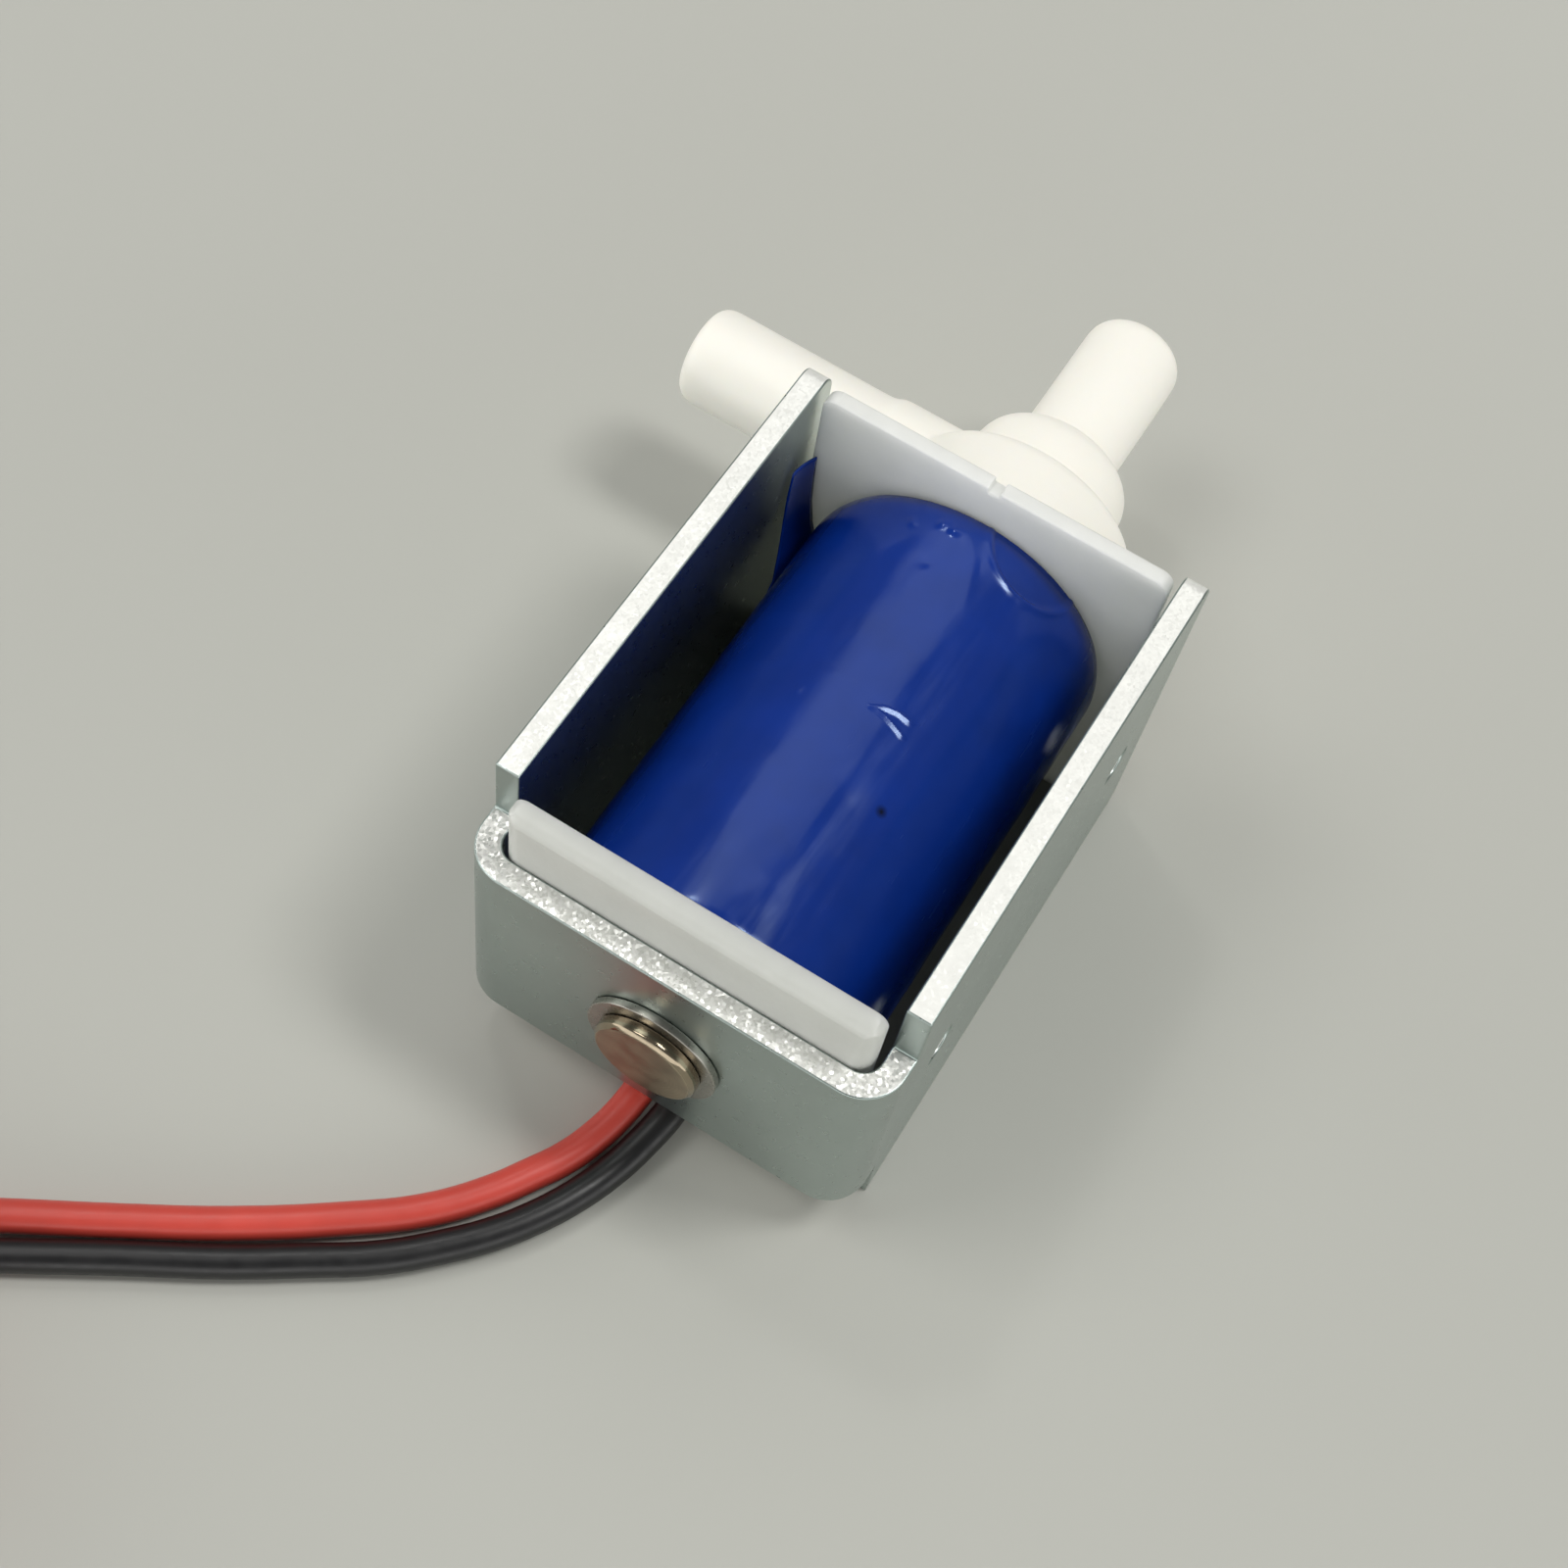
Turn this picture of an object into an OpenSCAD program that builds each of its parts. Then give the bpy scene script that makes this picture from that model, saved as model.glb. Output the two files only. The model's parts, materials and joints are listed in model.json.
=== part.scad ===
// Micro solenoid valve: two-way, normally closed, with a U-shaped steel frame, a taped coil on a
// white bobbin, and a plastic valve end with an axial and a side hose nozzle.
// X runs across the frame, Y from the web to the axial nozzle, and Z is up.
// The origin is the middle of the frame's footprint, on the surface that the valve lies on.

/* [Frame] */
// Outer width across the two legs
frame_w = 21; // [20.6:0.1:23]
// Length from the outside of the web to the leg tips
frame_l = 28.6; // [26:0.2:32]
// Height of the legs
frame_h = 20.4; // [20:0.2:24]
// Thickness of the steel strip
strip_t = 1.2; // [1:0.1:1.4]
// Height of the web, which is narrower than the legs
web_h = 13; // [10:0.5:14.5]
// Inside radius of the two bends
bend_r = 0.9; // [0.5:0.1:1.2]
// Distance from the outside of the web to the shoulders of the legs
shoulder_l = 3; // [2.8:0.1:5]
// Rounding of the leg tips
tip_r = 1; // [0.4:0.1:2]
// How far the leg tips reach past the rear flange
tip_reach = 0.65; // [0.05:0.05:1.2]
// Tapping diameter of the two M2.5 mounting holes
mount_d = 2.05; // [1.6:0.05:2.5]
// Distance from the outside of the web to the first mounting hole
mount_start = 7; // [5:0.5:7.5]
// Distance between the two mounting holes
mount_pitch = 17; // [12:0.5:17]

/* [Bobbin] */
// Clearance between each flange and the legs beside it
flange_side_gap = 0.3; // [0.2:0.05:0.6]
// How far the flanges stay inside the edges of the legs
flange_inset = 0.1; // [0.05:0.05:0.4]
// Thickness of the flange against the web
front_flange_t = 1.2; // [0.8:0.1:1.5]
// Thickness of the flange at the valve end
rear_flange_t = 0.8; // [0.6:0.1:1.2]
// Corner radius of the flanges
flange_r = 0.7; // [0.4:0.1:2.5]
// Diameter of the bore that holds the core and guides the plunger
bore_d = 7.16; // [6.6:0.02:7.6]
// Wall of the bobbin tube
tube_t = 0.7; // [0.5:0.1:1]

/* [Coil] */
// Distance from the edges of the legs to the tape, above and below the coil
coil_clear = 2.3; // [2.1:0.1:3.2]
// Thickness of the tape wrap
tape_t = 0.25; // [0.15:0.05:0.4]

/* [Core] */
// Diameter of the tail that passes through the web
tail_d = 5.2; // [4.6:0.1:5.6]
// Thickness of the tail's end disc
head_l = 0.7; // [0.5:0.1:1.2]
// Outer diameter of the retaining ring
ring_d = 6.6; // [6.2:0.1:8]
// Thickness of the retaining ring
ring_t = 0.4; // [0.3:0.05:0.8]
// Length of the core inside the bobbin
core_l = 11.8; // [10:0.2:12.6]
// Section diameter of the two round sealing rings
seal_ring_d = 1; // [0.8:0.1:1.2]

/* [Plunger] */
// Running clearance between the plunger and the bore, on the radius
plunger_gap = 0.08; // [0.05:0.01:0.1]
// Travel of the plunger from the seat to the core
stroke = 1.2; // [0.8:0.1:1.6]
// Diameter of the plunger's nose
nose_d = 5.2; // [4.6:0.1:5.6]
// Diameter of the rubber seal in the nose
seal_d = 3.4; // [3:0.1:3.8]
// Outer diameter of the return spring
spring_d = 2.9; // [2.4:0.1:3]
// Wire diameter of the return spring
spring_wire = 0.35; // [0.25:0.05:0.4]
// Turns of the return spring
spring_turns = 9; // [6:1:10]

/* [Valve end] */
// Diameter of the base disc
disc_d = 12.6; // [12.4:0.1:15]
// Thickness of the base disc
disc_l = 5.7; // [5.5:0.1:7]
// Diameter of the collar behind the disc
collar_d = 8.5; // [7.8:0.1:9.4]
// Height of the collar with its rounded shoulder
collar_l = 4.1; // [3:0.1:5]
// Diameter of the axial nozzle
nozzle_d = 5.3; // [4.8:0.1:5.6]
// Length of the axial nozzle beyond the collar
nozzle_l = 8.8; // [6:0.1:11]
// Diameter of the flow passage in both nozzles
port_d = 2.5; // [2:0.1:3]
// Diameter of the side nozzle
side_d = 5.2; // [4.6:0.1:5.6]
// Diameter of the boss at the root of the side nozzle
side_boss_d = 5.7; // [5.6:0.1:6.4]
// Reach of the boss from the valve's axis
side_boss_reach = 8.2; // [7:0.1:10]
// Reach of the side nozzle from the valve's axis
side_reach = 18.6; // [16:0.2:22]
// Distance of the side nozzle's axis behind the rear flange
side_offset = 5.2; // [4.8:0.1:5.6]

/* [Leads] */
// Outside diameter of the insulated leads
lead_d = 1.6; // [1.4:0.05:1.7]
// Diameter of the bare tinned conductor
conductor_d = 0.8; // [0.6:0.05:0.9]
// Length of the stripped end
tip_l = 4; // [3:0.5:6]

/* [Hidden] */
$fn = 96;

// Clearance of pieces that fit with no play, and how far a cut goes past the faces that it opens
fit_gap = 0.02;
over = 1;

// Places along the valve's axis
axis_z = frame_h / 2;
web_y = -frame_l / 2;
inner_y = web_y + strip_t;
tip_y = frame_l / 2;
front_y = inner_y + front_flange_t;
rear_y = tip_y - tip_reach;
back_y = rear_y - rear_flange_t;
web_low = (frame_h - web_h) / 2;

// Bobbin and coil
flange_w = frame_w - 2 * (strip_t + flange_side_gap);
flange_h = frame_h - 2 * flange_inset;
bore_r = bore_d / 2;
tube_r = bore_r + tube_t;
// Least distance from the tape to the legs beside it
coil_side_gap = 0.6;
coil_r = min(axis_z - coil_clear, frame_w / 2 - strip_t - coil_side_gap);
// Looseness of a hand-wound layer, and the hollow that is left under the tape
slack = 0.05;
tape_room = 0.2;
winding_r = coil_r - tape_t - tape_room;
// The wire's two ends, which run down from the winding to the lead joints
wire_end_r = 0.15;
wire_end_inset = 0.6;
// The loose corner of the tape: its length, its rise and its distances from the coil, leg and flange
corner_l = 9;
corner_rise = 4.6;
corner_foot = 0.1;
corner_leg_gap = 0.25;
corner_end_gap = 0.15;
corner_r = 0.12;
// Rounding of the front flange's upper and lower front edges
flange_nose_r = 0.8;
// The key nick in the middle of the rear flange's top edge
nick_w = 0.6;
nick_h = 0.3;

// Core, with the groove for the retaining ring outside the web
tail_r = tail_d / 2;
core_r = bore_r - fit_gap;
web_hole_gap = 0.05;
groove_depth = 0.7;
groove_r = tail_r - groove_depth;
ring_play = 0.03;
ring_lip = 0.2;
groove_l = ring_t + slack;
head_y = web_y - groove_l - head_l;
pole_y = inner_y + core_l;
core_seal_l = 5;
core_seal_y = inner_y + core_seal_l;
seal_ring_r = seal_ring_d / 2;
edge = 0.2;

// Plunger, which rests on the seat
seat_l = 4.4;
seat_y = rear_y + seat_l;
contact_gap = 0.03;
plunger_r = bore_r - plunger_gap;
pole_gap = 0.05;
plunger_y = pole_y + stroke + pole_gap;
// How far the seal stands out of the nose, and how far the nose's shoulder stays inside the bobbin
seal_rise = 0.8;
plunger_end_y = seat_y - seal_rise;
shoulder_inset = 0.4;
nose_y = rear_y - shoulder_inset;
spring_gap = 0.2;
spring_pocket_r = spring_d / 2 + spring_gap;
spring_pocket_l = 7;
spring_seat_l = 1;
seal_pocket_r = seal_d / 2 + fit_gap;
seal_pocket_l = 1.2;
slot_w = 0.9;
slot_depth = 0.5;

// Valve end: outside, then the chamber, the seat and the passages
disc_r = disc_d / 2;
disc_round = 0.8;
disc_y = rear_y + disc_l;
collar_r = collar_d / 2;
nozzle_r = nozzle_d / 2;
// The collar's shoulder is a dome that ends at the nozzle
dome_r = 1.5;
collar_round = min(dome_r, collar_r - nozzle_r - slack);
collar_y = disc_y + collar_l;
nozzle_round = 1;
nozzle_y = collar_y + nozzle_l;
side_y = rear_y + side_offset;
side_r = side_d / 2;
side_boss_r = side_boss_d / 2;
side_round = 0.8;
boss_round = 0.25;
port_r = port_d / 2;
chamber_r = 4.4;
seat_rise = 0.7;
chamber_y = seat_y + seat_rise;
seat_r = 1.5;
seat_flare = 0.4;
orifice_r = 0.7;
orifice_l = 1.5;
orifice_y = chamber_y + orifice_l;
funnel_l = 0.5;
// The groove for the sealing ring in the front face
body_seal_r = 5.35;
body_groove_r = 0.45;

// Leads: where each lies beside the other in the pocket under the tape
lead_r = lead_d / 2;
lead_x = 0.9;
lead_start_z = 1.45;
pocket_x = lead_x + lead_r + 2 * slack;
pocket_z = lead_start_z - lead_r - slack;
pocket_l = 7;
pocket_y = front_y + pocket_l;
// Height of the fold, up into the wrap
fold_h = 4;
joint_l = 3;
joint_y = front_y + joint_l;

// Routes of the leads from the joints to the coil, on the surface
red_route = [
    [-0.9, -8.9, 1.45], [-0.9, -11.7, 1.45], [-0.9, -13.4, 1.3], [-1.05, -14.8, 1.1],
    [-1.4, -16.3, 0.93], [-2, -17.9, 0.82], [-2.9, -19.5, 0.82], [-3.9, -21.1, 0.82],
    [-5.9, -23.5, 0.82], [-8.8, -25.9, 0.82], [-13, -28.9, 0.82], [-17.2, -31.5, 0.82],
    [-21.6, -34.1, 0.82], [-25, -36.2, 0.82], [-28.5, -38.4, 0.95], [-32, -40.5, 1.2]
];
black_route = [
    [0.9, -8.9, 1.45], [0.9, -11.7, 1.45], [0.9, -13.5, 1.3], [0.6, -15.4, 1.03],
    [0.15, -17.2, 0.85], [-0.6, -19.2, 0.82], [-1.6, -21.1, 0.82], [-2.7, -22.7, 0.82],
    [-4.1, -24.3, 0.82], [-6.3, -26.4, 0.82], [-9.1, -28.4, 0.82], [-11.9, -30.3, 0.82],
    [-16.2, -32.9, 0.82], [-20.4, -35.5, 0.82], [-24, -37.7, 0.82], [-27.6, -39.8, 0.95],
    [-31.1, -41.9, 1.2]
];

// The coil of spare lead, wound two leads wide on the tie
coil_center = [-27.2, -48.9];
coil_track = 1.65;
coil_inner = 8;
coil_turns = 2;
tie_t = 0.4;
tie_gap = 0.03;
tie_w = 2;
tie_angle = 285;
coil_h = coil_turns * coil_track + lead_d;

// The free ends come off the top of the coil and lie down in its middle, red on black
red_tail_route = [
    [-32, -40.5, 4.5], [-34.3, -42.9, 4.6], [-35.3, -46, 4.7], [-34.8, -48.9, 4.7], [-33.5, -51.2, 4.3],
    [-31.9, -52.8, 3.5], [-29.8, -54, 2.7], [-27.9, -54.2, 2.47]
];
black_tail_route = [
    [-31.2, -42, 4.5], [-32.8, -43.8, 4.5], [-33.4, -46.1, 4.1], [-33.3, -48.4, 2.9], [-32.7, -50.6, 1.6],
    [-31.5, -52.5, 0.95], [-29.6, -54, 0.82], [-26.7, -54.5, 0.82], [-24, -53.5, 0.82], [-22.1, -51.3, 0.82],
    [-21.6, -48.4, 0.82], [-22.7, -45.7, 0.82], [-24.7, -44.5, 0.82]
];

function unit(v) = v / norm(v);

// Direction of a path at one of its points
function heading(path, i) = unit(path[min(i + 1, len(path) - 1)] - path[max(i - 1, 0)]);

// One ring of points round a path, square to its heading
function ring_points(center, dir, up, r, sides) =
    let (side = unit(cross(dir, up)), top = cross(side, dir))
    [for (k = [0 : sides - 1]) center + r * (cos(360 * k / sides) * side + sin(360 * k / sides) * top)];

// Points of an arc in a profile, from one angle to another
function arc(center, r, from, to, steps = 6) =
    [for (k = [0 : steps]) let (a = from + (to - from) * k / steps) center + r * [cos(a), sin(a)]];

// A round tube swept along a path
module swept_tube(path, r, up = [0, 0, 1], sides = 8) {
    count = len(path);
    points = [for (i = [0 : count - 1]) each ring_points(path[i], heading(path, i), up, r, sides)];
    walls = [
        for (i = [0 : count - 2]) for (k = [0 : sides - 1])
            let (a = i * sides + k, b = i * sides + (k + 1) % sides)
            each [[a, b, b + sides], [a, b + sides, a + sides]]
    ];
    start = [for (k = [sides - 1 : -1 : 0]) k];
    end = [for (k = [0 : sides - 1]) (count - 1) * sides + k];
    polyhedron(points, concat(walls, [start, end]));
}

// A solid turned about the valve's axis, from points of radius and place along Y
module turned(points) {
    translate([0, 0, axis_z]) rotate([-90, 0, 0]) rotate_extrude() polygon(points);
}

// A rod along the valve's axis
module axial_rod(r, from, to) {
    translate([0, from, axis_z]) rotate([-90, 0, 0]) cylinder(h = to - from, r = r);
}

// A rounded rectangle from straight edges and four round corners
module rounded_rectangle(w, h, r) {
    square([w - 2 * r, h], center = true);
    square([w, h - 2 * r], center = true);
    for (x = [-1, 1], y = [-1, 1]) translate([x * (w / 2 - r), y * (h / 2 - r)]) circle(r);
}

// The U seen from above, with its open end at the leg tips
module u_area(w, from, r) {
    translate([-w / 2, from + r]) square([w, tip_y - from - r]);
    translate([-w / 2 + r, from]) square([w - 2 * r, r]);
    for (x = [-1, 1]) translate([x * (w / 2 - r), from + r]) circle(r);
}

// What is taken off the strip below and above the web, and at the leg tips
module frame_cuts() {
    for (z = [-over, frame_h - web_low])
        translate([-frame_w / 2 - over, web_y - over, z])
            cube([frame_w + 2 * over, shoulder_l + over, web_low + over]);
    for (side = [0, 1])
        translate([0, tip_y - tip_r, side == 0 ? tip_r : frame_h - tip_r])
            rotate([0, 90, 0])
                difference() {
                    translate([side == 0 ? 0 : -tip_r - over, 0, -frame_w])
                        cube([tip_r + over, tip_r + over, 2 * frame_w]);
                    cylinder(h = 3 * frame_w, r = tip_r, center = true);
                }
}

module frame() {
    color("gainsboro") difference() {
        linear_extrude(frame_h) difference() {
            u_area(frame_w, web_y, bend_r + strip_t);
            u_area(frame_w - 2 * strip_t, inner_y, bend_r);
            translate([-frame_w / 2 + strip_t, tip_y - over]) square([frame_w - 2 * strip_t, 2 * over]);
        }
        frame_cuts();
        axial_rod(tail_r + web_hole_gap, web_y - over, inner_y + over);
        for (y = [0, mount_pitch])
            translate([frame_w / 2 - strip_t - over, web_y + mount_start + y, axis_z])
                rotate([0, 90, 0]) cylinder(h = strip_t + 2 * over, d = mount_d);
    }
}

// One flange of the bobbin
module flange(from, thickness) {
    translate([0, from, axis_z]) rotate([-90, 0, 0])
        linear_extrude(thickness) rounded_rectangle(flange_w, flange_h, flange_r);
}

// The open notch in the front flange that a lead comes out of
module lead_notch(x) {
    r = lead_r + slack;
    depth = front_flange_t + 2 * over;
    translate([x, inner_y - over, lead_start_z]) rotate([-90, 0, 0]) cylinder(h = depth, r = r);
    translate([x - r, inner_y - over, -over]) cube([2 * r, depth, lead_start_z + over]);
}

// The front flange seen from its end, with its upper and lower front edges rounded
module flange_nose() {
    r = min(flange_nose_r, front_flange_t - edge);
    translate([inner_y + r, flange_inset]) square([front_flange_t - r, flange_h]);
    translate([inner_y, flange_inset + r]) square([front_flange_t, flange_h - 2 * r]);
    for (z = [flange_inset + r, frame_h - flange_inset - r]) translate([inner_y + r, z]) circle(r);
}

// The flange against the web, with its upright edges rounded to clear the two bends
module front_flange() {
    intersection() {
        flange(inner_y, front_flange_t);
        linear_extrude(frame_h) u_area(flange_w, inner_y, bend_r);
        translate([-frame_w / 2, 0, 0]) rotate([90, 0, 90]) linear_extrude(frame_w) flange_nose();
    }
}

module bobbin() {
    color("whitesmoke") difference() {
        union() {
            front_flange();
            flange(back_y, rear_flange_t);
            axial_rod(tube_r, front_y - slack, back_y + slack);
        }
        axial_rod(bore_r, inner_y - over, rear_y + over);
        for (x = [-lead_x, lead_x]) lead_notch(x);
        translate([-nick_w / 2, back_y - over, frame_h - flange_inset - nick_h])
            cube([nick_w, rear_flange_t + 2 * over, nick_h + over]);
    }
}

// The copper winding, with its two wire ends down to the lead joints
module winding() {
    color("peru") difference() {
        union() {
            axial_rod(winding_r, front_y + slack, back_y - slack);
            for (x = [-lead_x, lead_x])
                translate([x, joint_y + joint_l - wire_end_inset, lead_start_z + conductor_d / 2 + slack])
                    cylinder(h = axis_z - winding_r - lead_start_z, r = wire_end_r);
        }
        axial_rod(tube_r + fit_gap, front_y - over, back_y + over);
    }
}

// The film tape, with its fold over the lead joints below and its loose corner on the left
module coil_tape() {
    fold_x = pocket_x + tape_t;
    color("mediumblue") union() {
        difference() {
            union() {
                axial_rod(coil_r, front_y + slack, back_y - slack);
                translate([-fold_x, front_y + slack, pocket_z - tape_t])
                    cube([2 * fold_x, pocket_y - front_y - slack, fold_h]);
            }
            axial_rod(coil_r - tape_t, front_y - over, back_y + over);
            translate([-pocket_x, front_y - over, pocket_z])
                cube([2 * pocket_x, pocket_y - tape_t - front_y + over, fold_h]);
        }
        loose_corner();
    }
}

// The corner of the tape that has lifted off beside the left leg
module loose_corner() {
    foot_x = -coil_r + corner_foot;
    top_x = -frame_w / 2 + strip_t + corner_leg_gap;
    end_y = back_y - slack - corner_end_gap;
    hull() {
        for (y = [end_y - corner_l, end_y])
            translate([foot_x, y, axis_z]) sphere(r = corner_r, $fn = 16);
        translate([top_x, end_y, axis_z + corner_rise]) sphere(r = corner_r, $fn = 16);
    }
}

module fixed_core() {
    seal_groove = seal_ring_d * 1.3;
    seal_floor = core_r - seal_ring_d - fit_gap;
    color("silver") turned([
        [0, head_y], [tail_r - edge, head_y], [tail_r, head_y + edge],
        [tail_r, web_y - groove_l], [groove_r, web_y - groove_l], [groove_r, web_y],
        [tail_r, web_y], [tail_r, inner_y], [core_r, inner_y],
        [core_r, core_seal_y - seal_groove / 2], [seal_floor, core_seal_y - seal_groove / 2],
        [seal_floor, core_seal_y + seal_groove / 2], [core_r, core_seal_y + seal_groove / 2],
        [core_r, pole_y - edge], [core_r - edge, pole_y], [spring_pocket_r, pole_y],
        [spring_pocket_r, pole_y - spring_seat_l], [0, pole_y - spring_seat_l]
    ]);
}

// The split ring that holds the core in the web, open at the bottom
module retaining_ring() {
    from = web_y - groove_l + ring_play;
    slot = 2 * (groove_r - ring_lip);
    color("silver") difference() {
        axial_rod(ring_d / 2, from, from + ring_t);
        axial_rod(groove_r + ring_play, from - over, from + ring_t + over);
        translate([-slot / 2, from - over, axis_z - ring_d]) cube([slot, ring_t + 2 * over, ring_d]);
    }
}

// A round sealing ring about the valve's axis
module seal_ring(r, y, section) {
    translate([0, y, axis_z]) rotate([-90, 0, 0])
        rotate_extrude() translate([r, 0]) circle(section, $fn = 32);
}

module core_seal_ring() {
    color("dimgray") seal_ring(bore_r - seal_ring_r - fit_gap, core_seal_y, seal_ring_r - fit_gap);
}

module plunger() {
    color("lightsteelblue") difference() {
        turned([
            [0, plunger_y + spring_pocket_l], [spring_pocket_r, plunger_y + spring_pocket_l],
            [spring_pocket_r, plunger_y], [plunger_r - edge, plunger_y], [plunger_r, plunger_y + edge],
            [plunger_r, nose_y - edge], [plunger_r - edge, nose_y], [nose_d / 2, nose_y],
            [nose_d / 2, plunger_end_y - edge], [nose_d / 2 - edge, plunger_end_y],
            [seal_pocket_r, plunger_end_y], [seal_pocket_r, plunger_end_y - seal_pocket_l],
            [0, plunger_end_y - seal_pocket_l]
        ]);
        for (side = [-1, 1])
            translate([-slot_w / 2, plunger_y - over, axis_z + side * plunger_r - slot_depth])
                cube([slot_w, nose_y - plunger_y + 2 * over, 2 * slot_depth]);
    }
}

module plunger_seal() {
    color("black") axial_rod(seal_d / 2, plunger_end_y - seal_pocket_l, seat_y - contact_gap);
}

module return_spring() {
    mean_r = (spring_d - spring_wire) / 2;
    from = pole_y - spring_seat_l + spring_wire / 2 + fit_gap;
    to = plunger_y + spring_pocket_l - spring_wire / 2 - fit_gap;
    steps = spring_turns * 16;
    path = [
        for (k = [0 : steps])
            let (a = 360 * spring_turns * k / steps)
            [mean_r * cos(a), from + (to - from) * k / steps, axis_z + mean_r * sin(a)]
    ];
    color("silver") swept_tube(path, spring_wire / 2, [0, 1, 0], 8);
}

// Half outline of the valve body's outside, from the flange to the tip of the axial nozzle
function body_outline() = concat(
    [[0, rear_y], [disc_r, rear_y]],
    arc([disc_r - disc_round, disc_y - disc_round], disc_round, 0, 90),
    [[collar_r, disc_y]],
    arc([collar_r - collar_round, collar_y - collar_round], collar_round, 0, 90),
    [[nozzle_r, collar_y]],
    arc([nozzle_r - nozzle_round, nozzle_y - nozzle_round], nozzle_round, 0, 90),
    [[0, nozzle_y]]
);

// Half outline of the hollow inside: chamber, raised seat, orifice and axial passage
function passage_outline() = [
    [0, rear_y - over], [chamber_r, rear_y - over], [chamber_r, chamber_y], [seat_r + seat_flare, chamber_y],
    [seat_r, seat_y], [orifice_r, seat_y], [orifice_r, orifice_y], [port_r, orifice_y + funnel_l],
    [port_r, nozzle_y + over], [0, nozzle_y + over]
];

// Half outline of the side nozzle and the boss at its root
function side_outline() = concat(
    [[0, chamber_r - over], [side_boss_r, chamber_r - over]],
    arc([side_boss_r - boss_round, side_boss_reach - boss_round], boss_round, 0, 90),
    [[side_r, side_boss_reach]],
    arc([side_r - side_round, side_reach - side_round], side_round, 0, 90),
    [[0, side_reach]]
);

// Turns a part of the side nozzle to run from the valve's axis to the left
module side_turned() {
    translate([0, side_y, axis_z]) rotate([0, -90, 0]) children();
}

module valve_body() {
    color("ivory") difference() {
        union() {
            turned(body_outline());
            side_turned() rotate_extrude() polygon(side_outline());
        }
        turned(passage_outline());
        side_turned() translate([0, 0, chamber_r - over]) cylinder(h = side_reach, r = port_r);
        seal_ring(body_seal_r, rear_y, body_groove_r);
    }
}

module body_seal_ring() {
    color("dimgray") difference() {
        seal_ring(body_seal_r, rear_y, body_groove_r - fit_gap);
        translate([-disc_d, rear_y - disc_d, 0]) cube([2 * disc_d, disc_d, frame_h]);
    }
}

// The soldered joint between a lead and the winding's wire
module lead_joint(x) {
    translate([x, joint_y, lead_start_z]) rotate([-90, 0, 0]) cylinder(h = joint_l, d = conductor_d);
}

module red_joint() {
    color("lightgray") lead_joint(-lead_x);
}

module black_joint() {
    color("lightgray") lead_joint(lead_x);
}

module red_lead() {
    color("firebrick") swept_tube(red_route, lead_r);
}

module black_lead() {
    color("#222222") swept_tube(black_route, lead_r);
}

// The outer shape of the coiled leads, grown by a clearance
module coil_ring(grow = 0) {
    width = coil_track + lead_d + 2 * grow;
    height = coil_h + 2 * grow;
    translate([coil_center[0], coil_center[1], tie_t + coil_h / 2])
        rotate_extrude() translate([coil_inner + coil_track / 2, 0])
            rounded_rectangle(width, height, lead_r + grow);
}

module lead_coil() {
    color("firebrick") coil_ring();
}

module lead_tie() {
    width = coil_track + lead_d + 2 * tie_t;
    color("gray") difference() {
        translate([coil_center[0], coil_center[1], 0]) rotate([0, 0, tie_angle])
            translate([coil_inner - lead_r - tie_t, -tie_w / 2, 0])
                cube([width, tie_w, coil_h + 2 * tie_t]);
        coil_ring(tie_gap);
    }
}

module red_tail() {
    color("firebrick") swept_tube(red_tail_route, lead_r);
}

module black_tail() {
    color("#222222") swept_tube(black_tail_route, lead_r);
}

// The stripped and tinned end of a lead, straight on from its free end
module bare_tip(route) {
    last = len(route) - 1;
    dir = unit([route[last][0] - route[last - 1][0], route[last][1] - route[last - 1][1], 0]);
    translate(route[last]) rotate([0, 90, atan2(dir[1], dir[0])])
        cylinder(h = tip_l, d = conductor_d);
}

module red_tip() {
    color("lightgray") bare_tip(red_tail_route);
}

module black_tip() {
    color("lightgray") bare_tip(black_tail_route);
}

frame();
bobbin();
winding();
coil_tape();
fixed_core();
retaining_ring();
core_seal_ring();
plunger();
plunger_seal();
return_spring();
valve_body();
body_seal_ring();
red_joint();
black_joint();
red_lead();
black_lead();
lead_coil();
lead_tie();
red_tail();
black_tail();
red_tip();
black_tip();
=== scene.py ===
import json
from math import atan2, cos, exp, hypot, pi, radians, sin, tau

import bmesh
import bpy
from bpy.props import FloatProperty, FloatVectorProperty, IntProperty, PointerProperty
from mathutils import Matrix, Vector


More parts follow.
